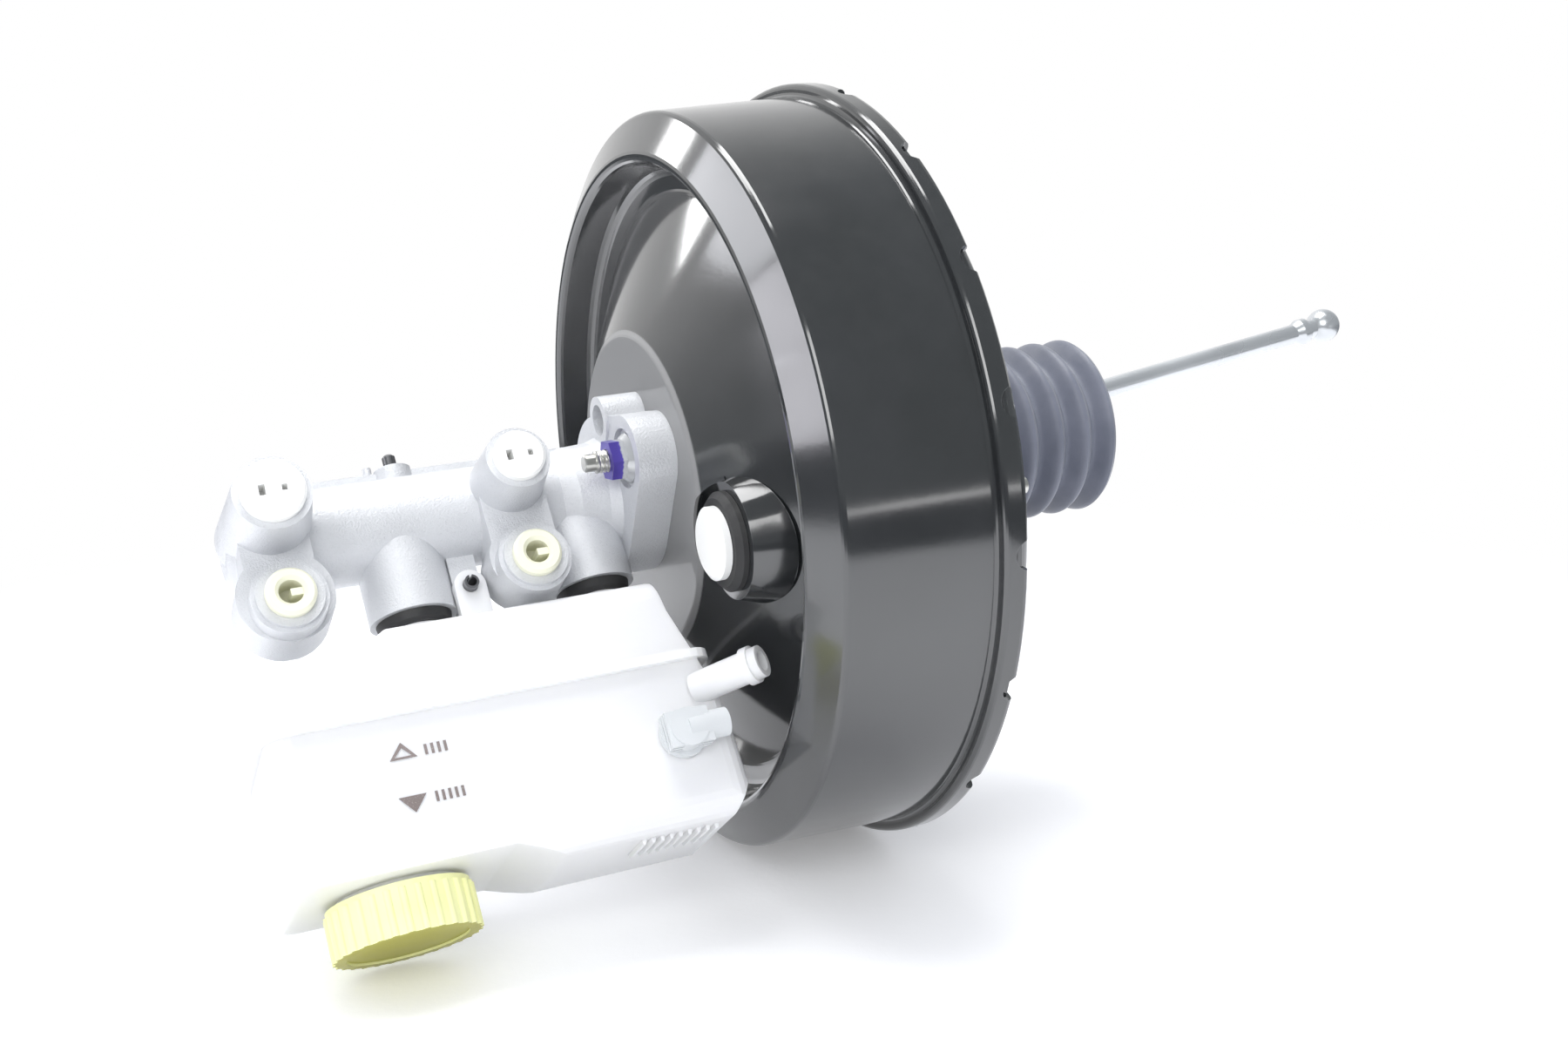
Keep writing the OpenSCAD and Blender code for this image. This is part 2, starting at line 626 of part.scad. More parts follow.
// Solid plug with a flat disc and two slots, pushed into a side port
module side_plugs() color([0.94, 0.94, 0.93]) leaned() for (port = ports)
    translate([port[0], -side_face, side_lift]) rotate([90, 0, 0]) difference() {
        union() {
            translate([0, 0, 0.1]) cylinder(h = 2.4, r = port[1] - 2.2, $fn = small_fn);
            translate([0, 0, 2.4]) cylinder(h = 0.8, r1 = port[1] - 2.2, r2 = port[1] - 3, $fn = small_fn);
            translate([0, 0, -8.5]) cylinder(h = 8.7, r = outlet_thread_r - seat_gap, $fn = small_fn);
        }
        translate([-4.6, -1.9, -3]) cube([2.2, 3.8, 8]);
        translate([2.8, -1.1, -1]) cube([1.8, 2.2, 6]);
    }

// Hollow plug with one rib inside, pushed into a lower port
module low_plugs() color([0.88, 0.88, 0.76]) leaned() for (port = ports)
    translate([port[0], -low_face, -low_drop]) rotate([90, 0, 0]) {
        rotate_extrude($fn = small_fn)
            polygon([[0, -10], [outlet_thread_r - seat_gap, -10], [outlet_thread_r - seat_gap, 0.1],
                [low_plug_r, 0.1], [low_plug_r, 2.4], [low_plug_r - 1, 3.6],
                [low_plug_r - 3, 3.6], [4, 2.4], [4, -7], [0, -8]]);
        translate([0, -1.2, -7.5]) cube([4.2, 2.4, 9.3]);
    }

module reservoir_grommets() color([0.1, 0.1, 0.1]) leaned() for (x = [rear_inlet_x, front_inlet_x])
    translate([x, 0, -inlet_face]) rotate([180, 0, 0])
        rotate_extrude($fn = small_fn)
            polygon([[7 + seat_gap, -10], [socket_r - seat_gap, -10], [socket_r - seat_gap, 0.1],
                [inlet_boss_r - 2, 0.1], [inlet_boss_r - 2.5, 3], [inlet_boss_r - 4, 4], [7 + seat_gap, 4]]);

module retaining_pin() color([0.5, 0.5, 0.52]) leaned() difference() {
    side_bar(lug_x, pin_z, -14, 14, pin_r);
    side_bar(lug_x, pin_z, -15, 15, pin_r - 0.8);
    translate([lug_x - 0.5, -15, pin_z]) cube([1, 30, pin_r + 1]);
}

// Side view of the tank, as [distance in front of the plate, distance below the bore axis]
function tank_side(inset) = [
    [17 + inset, tank_near + inset],
    [15 + inset, tank_near + 13],
    [6 + inset, tank_near + 42],
    [1.8 + inset, tank_near + 65],
    [2.5 + inset, tank_far - 4],
    [10 + inset, tank_far + tank_sump - inset],
    [68, tank_far + tank_sump - inset],
    [84, tank_far - inset],
    [tank_front - inset, tank_far - inset],
    [tank_front - inset, tank_near + 7 + inset],
    [tank_front - 37 - inset, tank_near + 7 + inset],
    [tank_front - 46 - inset, tank_near + inset]];

// Closed tank form, smaller than the outside by inset on every face
module tank_form(inset) {
    round_in = tank_round - inset;
    half = tank_half - inset;
    intersection() {
        translate([plate_x, 0, 0]) rotate([90, 0, 0]) translate([0, 0, -half]) linear_extrude(2 * half)
            polygon([for (p = rounded_loop(tank_side(inset), 2.5, 4)) [-p[0], -p[1]]]);
        translate([plate_x - tank_front, 0, 0]) along_x() linear_extrude(tank_front)
            polygon(rounded_loop([[tank_near + inset, -half], [tank_far + tank_sump - inset, -half],
                [tank_far + tank_sump - inset, half], [tank_near + inset, half]], round_in));
        translate([plate_x - tank_front + inset, 0, -tank_far - tank_sump])
            linear_extrude(tank_far + tank_sump - tank_near)
                polygon(rounded_loop([[0, -half], [tank_front - 1.8 - 2 * inset, -half],
                    [tank_front - 1.8 - 2 * inset, half], [0, half]], round_in));
    }
}

weld_u = tank_near + 30;
nipple_u = 86;
nipple_r = 5.5;
nipple_run = 26;
outlet_r = 7;
ear_gap = 6.8;
ear_t = 4;

module reservoir() color([0.94, 0.94, 0.92, 0.9]) leaned() difference() {
    union() {
        tank_form(0);
        intersection() {
            translate([plate_x - tank_front - 3, -tank_half - 3, -weld_u - 1.5])
                cube([tank_front + 3 - 1, 2 * tank_half + 6, 3]);
            translate([plate_x - tank_front - 3, 0, -weld_u - 2]) linear_extrude(4)
                polygon(rounded_loop([[0, -tank_half - 3], [tank_front - 1, -tank_half - 3],
                    [tank_front - 1, tank_half + 3], [0, tank_half + 3]], tank_round));
        }
        down_bar(neck_x, 0, tank_far - 4, neck_top, filler_r);
        nipple(0, nipple_run, nipple_r);
        nipple(nipple_run - 6, nipple_run - 3, nipple_r + 1);
        for (x = [rear_inlet_x, front_inlet_x]) {
            down_bar(x, 0, inlet_face - 9, tank_near + 4, outlet_r);
            down_bar(x, 0, inlet_face + 4.2, tank_near + 4, outlet_r + 3);
        }
        for (side = [-1, 1])
            translate([lug_x, side * (ear_gap + ear_t / 2), 0]) rotate([90, 0, 0])
                translate([0, 0, -ear_t / 2]) linear_extrude(ear_t) {
                    translate([0, pin_z]) circle(r = lug_r, $fn = small_fn);
                    translate([-lug_r, -tank_near - 3]) square([2 * lug_r, tank_near + 3 + pin_z]);
                }
    }
    difference() {
        tank_form(tank_wall);
        down_bar(float_x, 0, tank_near, tank_far + tank_sump, post_r);
    }
    down_bar(neck_x, 0, tank_far - 6, neck_top + 1, filler_r - tank_wall + 0.4);
    for (x = [rear_inlet_x, front_inlet_x])
        down_bar(x, 0, inlet_face - 10, tank_near + 5, outlet_r - 2);
    nipple(-2, nipple_run + 1, nipple_r - 2);
    side_bar(lug_x, pin_z, -15, 15, pin_r + seat_gap);
}

// Bar along the nipple, which leaves the tank's near rear corner half to the rear and half sideways
module nipple(a, b, r)
    translate([plate_x - 12, -tank_half + 2, -nipple_u]) rotate([0, 0, -45]) along_x()
        translate([0, 0, a]) cylinder(h = b - a, r = r, $fn = small_fn);

module cap() color([0.93, 0.87, 0.2]) leaned() translate([neck_x, 0, -cap_top]) difference() {
    union() {
        cylinder(h = cap_h - 0.7, r = cap_r - 1, $fn = round_fn);
        for (i = [0:29])
            rotate([0, 0, 12 * i]) translate([cap_r - 1.2, 0, 0])
                cylinder(h = cap_h - 2.5, r = 1.2, $fn = 16);
    }
    translate([0, 0, cap_t]) cylinder(h = cap_h, r = filler_r + free_gap, $fn = round_fn);
    translate([0, 0, -1]) cylinder(h = 1.8, r = cap_r - 4.5, $fn = round_fn);
}

module cap_seal() color([0.1, 0.1, 0.1]) leaned() translate([neck_x, 0, -cap_top + cap_t + 0.1])
    rotate_extrude($fn = round_fn)
        polygon([[0, 0], [filler_r, 0], [filler_r, cap_top - cap_t - neck_top - 0.3],
            [15.8, cap_top - cap_t - neck_top - 0.3], [15.2, 7], [13.6, 7], [13, 1.6], [0, 1.6]]);

module float() color([0.15, 0.15, 0.16]) leaned() difference() {
    down_bar(float_x, 0, float_far - float_h, float_far, float_r);
    down_bar(float_x, 0, tank_near, tank_far + tank_sump, post_r + free_gap);
}

switch_x = plate_x - 22;
switch_u = 101;

// Level switch in the tank's near side: ribbed grip, collar and round connector
module level_switch() color([0.85, 0.86, 0.86]) leaned() translate([switch_x, -tank_half - 0.1, -switch_u])
    rotate([90, 0, 0]) difference() {
        union() {
            cylinder(h = 3, r = 8, $fn = small_fn);
            cylinder(h = 10, r = 6.5, $fn = small_fn);
            for (i = [0:2])
                translate([-7.5, -6, 3 + 2.6 * i]) cube([15, 12, 1.4]);
            translate([0, 0, 6]) rotate([0, 90, 0]) cylinder(h = 14, r = 4.8, $fn = small_fn);
        }
        translate([3, 0, 6]) rotate([0, 90, 0]) cylinder(h = 13, r = 3.6, $fn = small_fn);
    }

module valve_body() color([0.16, 0.16, 0.17]) difference() {
    turned([[0, hub_x], [hub_r, hub_x], [hub_r, hub_x + hub_t], [valve_r, hub_x + hub_t], [valve_r, tail_x],
        [tail_r, tail_x + 3], [tail_r, valve_tail], [0, valve_tail]]);
    shaft(hub_x - 1, disc_x, disc_r + seat_gap, small_fn);
    shaft(disc_x - 1, chamber_x + 1, plunger_r + slide_gap, small_fn);
    shaft(chamber_x, valve_tail + 1, chamber_r);
    translate([key_x - key_t / 2 - 0.1, -key_half - 0.1, -plunger_r - 1])
        cube([key_t + 0.2, 2 * key_half + 0.2, valve_r + plunger_r + 10]);
}

key_x = -16;
key_t = 2;
key_half = 7.5;
groove_half = key_t / 2 + plunger_stroke + 0.3;

module valve_key() color([0.5, 0.5, 0.52]) difference() {
    translate([key_x - key_t / 2, -key_half, -plunger_r])
        cube([key_t, 2 * key_half, plunger_r + valve_r + 1.5]);
    translate([key_x - key_t, -4.9, -plunger_r - 1]) cube([2 * key_t, 9.8, plunger_r + 1]);
    shaft(key_x - key_t, key_x + key_t, 4.9, small_fn);
}

module valve_plunger() color([0.55, 0.55, 0.57]) difference() {
    union() {
        shaft(plunger_front, key_x - groove_half + plunger_stroke, plunger_r, small_fn);
        shaft(plunger_front, pivot_x, 4.5, small_fn);
        shaft(key_x + groove_half, -1.5, plunger_r, small_fn);
        shaft(pivot_x + 2, -1.5, plunger_r + 3.5, small_fn);
    }
    translate([pivot_x, 0, 0]) sphere(r = pivot_ball_r + slide_gap, $fn = small_fn);
    translate([pivot_x, 0, 0]) along_x() cylinder(h = 8, r = 4.8, $fn = small_fn);
}

module push_rod() color("silver") translate([pivot_x, 0, 0]) rotate([0, -rod_tilt, 0]) {
    sphere(r = pivot_ball_r, $fn = small_fn);
    shaft(0, 12, rod_r - 0.6, small_fn);
    shaft(12, rod_run, rod_r, small_fn);
    turned([[0, rod_run - 16], [rod_r, rod_run - 16], [rod_r + 1.4, rod_run - 13],
        [rod_r + 1.4, rod_run - 10], [rod_r - 0.4, rod_run - 8], [0, rod_run - 8]], small_fn);
    translate([rod_run, 0, 0]) sphere(r = rod_ball_r, $fn = round_fn);
}

module poppet_seal() color([0.12, 0.12, 0.12])
    turned([[6.8, -0.8], [chamber_r - 3, -0.8], [chamber_r - free_gap, 2], [chamber_r - free_gap, 5], [13, 5],
        [12.5, 2], [6.8, 1.2]], small_fn);

module poppet_spring() color([0.75, 0.75, 0.78])
    coil(5 + free_gap, retainer_x - free_gap, chamber_r - 2.9, 0.9, 4, 16);

module spring_retainer() color([0.6, 0.6, 0.62])
    turned([[12, retainer_x], [chamber_r - seat_gap, retainer_x], [chamber_r - seat_gap, retainer_x + 5],
        [chamber_r - seat_gap - 1.2, retainer_x + 5], [chamber_r - seat_gap - 1.2, retainer_x + 1.2],
        [12, retainer_x + 1.2]], small_fn);

module air_filter() color([0.3, 0.3, 0.28])
    ring(filter_x, filter_x + filter_run, 12.2, chamber_r - 0.2, small_fn);

module reaction_disc() color([0.14, 0.14, 0.14])
    shaft(disc_x - 5.6, disc_x - 0.1, disc_r, small_fn);

module output_rod() color("silver") union() {
    shaft(hub_x - 2, disc_x - 5.8, disc_r, small_fn);
    shaft(spigot_x - 1.4, hub_x, 4.2, small_fn);
    translate([spigot_x - 1.4, 0, 0]) sphere(r = 4.2, $fn = small_fn);
}

module return_spring() color([0.25, 0.25, 0.27])
    coil(brace_back + free_gap, hub_x - free_gap, return_r, return_wire, 5, 24);

// Places of the diaphragm plate and of the diaphragm's rolling fold
rim_plate_x = rim_x + 5;
plate_rim_r = lip_r - 6;
knee_r = 58;
hub_back = hub_x + hub_t;
fold_x = rim_plate_x - 11;
bead_front = seam_x + sheet + 0.1;
bead_back = rear_flange_x - sheet - 0.1;

module diaphragm_plate() color([0.5, 0.5, 0.52])
    turned(sheet_of(rounded([[valve_r + free_gap, hub_back + 1.4], [knee_r, hub_back + 1.4],
        [knee_r + 12, rim_plate_x], [plate_rim_r, rim_plate_x],
        [plate_rim_r + 3, rim_plate_x - 8]], 3, 3), 1.2));

module diaphragm() color([0.12, 0.12, 0.12]) {
    turned(sheet_of(rounded([[valve_r + free_gap, hub_back + 3.4], [knee_r + 0.6, hub_back + 3.4],
        [knee_r + 12.6, rim_plate_x + 2], [plate_rim_r + 2, rim_plate_x + 2],
        [plate_rim_r + 6, rim_plate_x - 5], [plate_rim_r + 6, fold_x], [plate_rim_r + 12, fold_x],
        [drum_rear_r - 5, bead_back - 1]], 2.2, 3), 1.8));
    ring(bead_front, bead_back, drum_rear_r - 5.5, crimp_r - sheet - 0.5);
}

module rear_seal() color([0.12, 0.12, 0.12])
    turned([[valve_r + slide_gap, 3], [valve_r + slide_gap, 12], [neck_r - 0.1, 13], [neck_r - 0.1, 4],
        [neck_r - 2, 4], [neck_r - 2.6, 9], [valve_r + 1.8, 9]], round_fn);

module seal_guide() color([0.85, 0.85, 0.82])
    ring(13.3, 18, valve_r + slide_gap + 0.03, neck_r - 0.1);

// Outer line of the boot: collar on the neck, folds and the rounded end
boot_line = concat(
    [[neck_r + sheet + seat_gap + boot_wall, boot_start],
        [neck_r + sheet + seat_gap + boot_wall, neck_run + 1.5]],
    [for (i = [1:folds * 8 - 4])
        [fold_r - fold_depth * (0.5 + 0.5 * cos(45 * i)), fold_start + fold_pitch * i / 8]],
    [for (a = [20, 40, 60, 80]) [fold_r * (1 - 0.6 * (1 - cos(a))), last_fold + 6 * sin(a)]],
    [[8, last_fold + 6.2], [0, last_fold + 6.2]]);

module boot() color([0.22, 0.24, 0.28]) difference() {
    turned(sheet_of(boot_line, -boot_wall));
    translate([pivot_x, 0, 0]) rotate([0, -rod_tilt, 0]) shaft(40, rod_run, rod_r + slide_gap, small_fn);
}

front_shell();
rear_shell();
reinforcement();
vacuum_grommet();
vacuum_plug();
mount_studs();
flange_studs();
flange_nuts();
spigot_seal();
diaphragm();
diaphragm_plate();
valve_body();
rear_seal();
seal_guide();
boot();
air_filter();
push_rod();
valve_plunger();
poppet_seal();
poppet_spring();
spring_retainer();
valve_key();
reaction_disc();
output_rod();
return_spring();
cylinder_body();
primary_piston();
secondary_piston();
primary_cups();
secondary_cups();
primary_spring();
secondary_spring();
snap_ring();
stop_bolt();
side_plugs();
low_plugs();
reservoir_grommets();
retaining_pin();
reservoir();
cap();
cap_seal();
float();
level_switch();
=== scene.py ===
import math
import bmesh
import bpy
from mathutils import Matrix, Vector


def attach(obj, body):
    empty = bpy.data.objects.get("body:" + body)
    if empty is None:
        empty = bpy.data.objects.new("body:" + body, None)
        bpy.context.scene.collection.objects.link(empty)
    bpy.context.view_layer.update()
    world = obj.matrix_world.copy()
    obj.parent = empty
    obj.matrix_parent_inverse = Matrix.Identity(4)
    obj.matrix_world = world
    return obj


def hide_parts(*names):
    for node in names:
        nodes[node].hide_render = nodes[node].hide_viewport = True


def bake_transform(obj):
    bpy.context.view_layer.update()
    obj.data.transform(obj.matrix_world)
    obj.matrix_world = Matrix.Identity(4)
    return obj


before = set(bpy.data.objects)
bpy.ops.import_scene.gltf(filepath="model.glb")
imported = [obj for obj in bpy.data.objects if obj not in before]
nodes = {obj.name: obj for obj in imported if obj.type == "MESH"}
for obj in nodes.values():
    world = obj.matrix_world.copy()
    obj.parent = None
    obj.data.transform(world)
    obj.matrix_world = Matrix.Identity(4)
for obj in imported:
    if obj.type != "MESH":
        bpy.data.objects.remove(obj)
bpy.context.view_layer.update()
print("booster frame loaded")


def node(tree, kind, x=0, y=0, **settings):
    made = tree.nodes.new(kind)
    made.location = (x, y)
    for key, value in settings.items():
        setattr(made, key, value)
    return made


def setInputs(made, **values):
    for key, value in values.items():
        made.inputs[key.replace("_", " ")].default_value = value


def linkAll(tree, *pairs):
    for source, target in pairs:
        tree.links.new(source, target)


def newGroup(name, inputs, outputs):
    tree = bpy.data.node_groups.new(name, "ShaderNodeTree")
    for label, kind, value in inputs:
        socket = tree.interface.new_socket(name=label, in_out="INPUT", socket_type=kind)
        if value is not None:
            socket.default_value = value
    for label, kind in outputs:
        tree.interface.new_socket(name=label, in_out="OUTPUT", socket_type=kind)
    return tree, node(tree, "NodeGroupInput", -900).outputs, node(tree, "NodeGroupOutput", 700).inputs


def buildGrain():
    # fine surface grain with a slow colour drift
    tree, given, result = newGroup(
        "surface grain",
        [("Scale", "NodeSocketFloat", 900.0),
         ("Depth", "NodeSocketFloat", 0.0001),
         ("Drift scale", "NodeSocketFloat", 25.0)],
        [("Fine", "NodeSocketFloat"), ("Drift", "NodeSocketFloat"), ("Normal", "NodeSocketVector")])
    place = node(tree, "ShaderNodeTexCoord", -900, -200)
    fine = node(tree, "ShaderNodeTexNoise", -600, 100)
    setInputs(fine, Detail=5.0, Roughness=0.6)
    slow = node(tree, "ShaderNodeTexNoise", -600, -200)
    setInputs(slow, Detail=3.0, Roughness=0.55)
    bump = node(tree, "ShaderNodeBump", 300, -100)
    setInputs(bump, Strength=1.0)
    linkAll(tree,
            (place.outputs["Object"], fine.inputs["Vector"]),
            (place.outputs["Object"], slow.inputs["Vector"]),
            (given["Scale"], fine.inputs["Scale"]),
            (given["Drift scale"], slow.inputs["Scale"]),
            (given["Depth"], bump.inputs["Distance"]),
            (fine.outputs["Fac"], bump.inputs["Height"]),
            (fine.outputs["Fac"], result["Fine"]),
            (slow.outputs["Fac"], result["Drift"]),
            (bump.outputs["Normal"], result["Normal"]))
    return tree


def buildEdgeRub():
    # rubbed edges, found where a rounded normal leaves the true one; on the black drum paint they are
    # partly a painted highlight along the rims
    tree, given, result = newGroup(
        "edge rub and glint",
        [("Width", "NodeSocketFloat", 0.0006),
         ("Reach", "NodeSocketFloat", 6.0),
         ("Breakup", "NodeSocketFloat", 180.0)],
        [("Mask", "NodeSocketFloat")])
    soft = node(tree, "ShaderNodeBevel", -600, 100, samples=6)
    true = node(tree, "ShaderNodeNewGeometry", -600, -100)
    dot = node(tree, "ShaderNodeVectorMath", -400, 0, operation="DOT_PRODUCT")
    gap = node(tree, "ShaderNodeMath", -200, 0, operation="SUBTRACT")
    gap.inputs[0].default_value = 1.0
    reach = node(tree, "ShaderNodeMath", 0, 0, operation="MULTIPLY", use_clamp=True)
    place = node(tree, "ShaderNodeTexCoord", -900, -300)
    broken = node(tree, "ShaderNodeTexNoise", -400, -300)
    setInputs(broken, Detail=4.0)
    ramp = node(tree, "ShaderNodeMapRange", -150, -300)
    setInputs(ramp, From_Min=0.42, From_Max=0.62)
    both = node(tree, "ShaderNodeMath", 250, 0, operation="MULTIPLY", use_clamp=True)
    linkAll(tree,
            (given["Width"], soft.inputs["Radius"]),
            (soft.outputs["Normal"], dot.inputs[0]),
            (true.outputs["Normal"], dot.inputs[1]),
            (dot.outputs["Value"], gap.inputs[1]),
            (gap.outputs["Value"], reach.inputs[0]),
            (given["Reach"], reach.inputs[1]),
            (place.outputs["Object"], broken.inputs["Vector"]),
            (given["Breakup"], broken.inputs["Scale"]),
            (broken.outputs["Fac"], ramp.inputs["Value"]),
            (reach.outputs["Value"], both.inputs[0]),
            (ramp.outputs["Result"], both.inputs[1]),
            (both.outputs["Value"], result["Mask"]))
    return tree


def buildDust():
    # thin dust that settles on faces turned up
    tree, given, result = newGroup(
        "settled dust",
        [("Amount", "NodeSocketFloat", 0.2), ("Scale", "NodeSocketFloat", 60.0)],
        [("Mask", "NodeSocketFloat")])
    facing = node(tree, "ShaderNodeNewGeometry", -700, 100)
    split = node(tree, "ShaderNodeSeparateXYZ", -500, 100)
    up = node(tree, "ShaderNodeMapRange", -300, 100)
    setInputs(up, From_Min=0.1, From_Max=1.0)
    place = node(tree, "ShaderNodeTexCoord", -700, -200)
    specks = node(tree, "ShaderNodeTexNoise", -500, -200)
    setInputs(specks, Detail=8.0, Roughness=0.7)
    ramp = node(tree, "ShaderNodeMapRange", -250, -200)
    setInputs(ramp, From_Min=0.4, From_Max=0.75)
    settled = node(tree, "ShaderNodeMath", 0, 0, operation="MULTIPLY")
    share = node(tree, "ShaderNodeMath", 200, 0, operation="MULTIPLY", use_clamp=True)
    linkAll(tree,
            (facing.outputs["Normal"], split.inputs["Vector"]),
            (split.outputs["Z"], up.inputs["Value"]),
            (place.outputs["Object"], specks.inputs["Vector"]),
            (given["Scale"], specks.inputs["Scale"]),
            (specks.outputs["Fac"], ramp.inputs["Value"]),
            (up.outputs["Result"], settled.inputs[0]),
            (ramp.outputs["Result"], settled.inputs[1]),
            (settled.outputs["Value"], share.inputs[0]),
            (given["Amount"], share.inputs[1]),
            (share.outputs["Value"], result["Mask"]))
    return tree


def buildRings():
    # fine turned rings along one direction
    tree, given, result = newGroup(
        "turned rings",
        [("Pitch", "NodeSocketFloat", 0.001),
         ("Depth", "NodeSocketFloat", 0.0003),
         ("Along", "NodeSocketVector", (1.0, 0.0, 0.0)),
         ("Normal", "NodeSocketVector", None)],
        [("Normal", "NodeSocketVector")])
    place = node(tree, "ShaderNodeTexCoord", -900, 200)
    dot = node(tree, "ShaderNodeVectorMath", -600, 100, operation="DOT_PRODUCT")
    share = node(tree, "ShaderNodeMath", -400, 100, operation="DIVIDE")
    wave = node(tree, "ShaderNodeMath", -200, 100, operation="PINGPONG")
    wave.inputs[1].default_value = 0.5
    bump = node(tree, "ShaderNodeBump", 300, 0)
    linkAll(tree,
            (place.outputs["Object"], dot.inputs[0]),
            (given["Along"], dot.inputs[1]),
            (dot.outputs["Value"], share.inputs[0]),
            (given["Pitch"], share.inputs[1]),
            (share.outputs["Value"], wave.inputs[0]),
            (wave.outputs["Value"], bump.inputs["Height"]),
            (given["Depth"], bump.inputs["Distance"]),
            (given["Normal"], bump.inputs["Normal"]),
            (bump.outputs["Normal"], result["Normal"]))
    return tree


def buildZone():
    # a share that rises along one direction, with a ragged edge, and how far a face looks that way
    tree, given, result = newGroup(
        "paint and painted light zone",
        [("Along", "NodeSocketVector", (1.0, 0.0, 0.0)),
         ("Start", "NodeSocketFloat", 0.0),
         ("End", "NodeSocketFloat", 1.0),
         ("Ragged", "NodeSocketFloat", 0.0)],
        [("Place mask", "NodeSocketFloat"), ("Facing mask", "NodeSocketFloat")])
    place = node(tree, "ShaderNodeTexCoord", -900, -200)
    along = node(tree, "ShaderNodeVectorMath", -600, 0, operation="DOT_PRODUCT")
    looks = node(tree, "ShaderNodeVectorMath", -600, 200, operation="DOT_PRODUCT")
    noise = node(tree, "ShaderNodeTexNoise", -600, -400)
    setInputs(noise, Scale=900.0, Detail=3.0)
    offset = node(tree, "ShaderNodeMath", -400, -400, operation="MULTIPLY")
    moved = node(tree, "ShaderNodeMath", -200, -200, operation="ADD")
    linkAll(tree,
            (place.outputs["Object"], along.inputs[0]),
            (given["Along"], along.inputs[1]),
            (place.outputs["Normal"], looks.inputs[0]),
            (given["Along"], looks.inputs[1]),
            (place.outputs["Object"], noise.inputs["Vector"]),
            (noise.outputs["Fac"], offset.inputs[0]),
            (given["Ragged"], offset.inputs[1]),
            (along.outputs["Value"], moved.inputs[0]),
            (offset.outputs["Value"], moved.inputs[1]))
    for source, label in ((moved, "Place mask"), (looks, "Facing mask")):
        ramp = node(tree, "ShaderNodeMapRange", 200, interpolation_type="SMOOTHSTEP")
        linkAll(tree,
                (source.outputs["Value"], ramp.inputs["Value"]),
                (given["Start"], ramp.inputs["From Min"]),
                (given["End"], ramp.inputs["From Max"]),
                (ramp.outputs["Result"], result[label]))
    return tree


grainGroup = buildGrain()
rubAndGlintGroup = buildEdgeRub()
dustGroup = buildDust()
ringGroup = buildRings()
paintAndLightZoneGroup = buildZone()
print("shared surface effects ready")


def useGroup(tree, group, x, y, **values):
    made = node(tree, "ShaderNodeGroup", x, y)
    made.node_tree = group
    setInputs(made, **values)
    return made


def mixColour(tree, x, y, first, second, mask):
    # first and second are a colour or another node's output
    made = node(tree, "ShaderNodeMix", x, y, data_type="RGBA")
    for socket, value in ((made.inputs[6], first), (made.inputs[7], second)):
        if isinstance(value, tuple):
            socket.default_value = (*value, 1.0)
        else:
            tree.links.new(value, socket)
    tree.links.new(mask, made.inputs[0])
    return made.outputs[2]


def mixNumber(tree, x, y, first, second, mask):
    made = node(tree, "ShaderNodeMix", x, y, data_type="FLOAT")
    linkAll(tree, (mask, made.inputs[0]), (first, made.inputs[2]))
    made.inputs[3].default_value = second
    return made.outputs[0]


def spread(tree, x, y, source, low, high, fromLow=0.3, fromHigh=0.7):
    made = node(tree, "ShaderNodeMapRange", x, y)
    setInputs(made, From_Min=fromLow, From_Max=fromHigh, To_Min=low, To_Max=high)
    tree.links.new(source, made.inputs["Value"])
    return made.outputs["Result"]


dustLook = {"tone": (0.55, 0.54, 0.52), "scale": 70.0}
speckRange = (0.55, 0.75)    # where the grain turns into specks


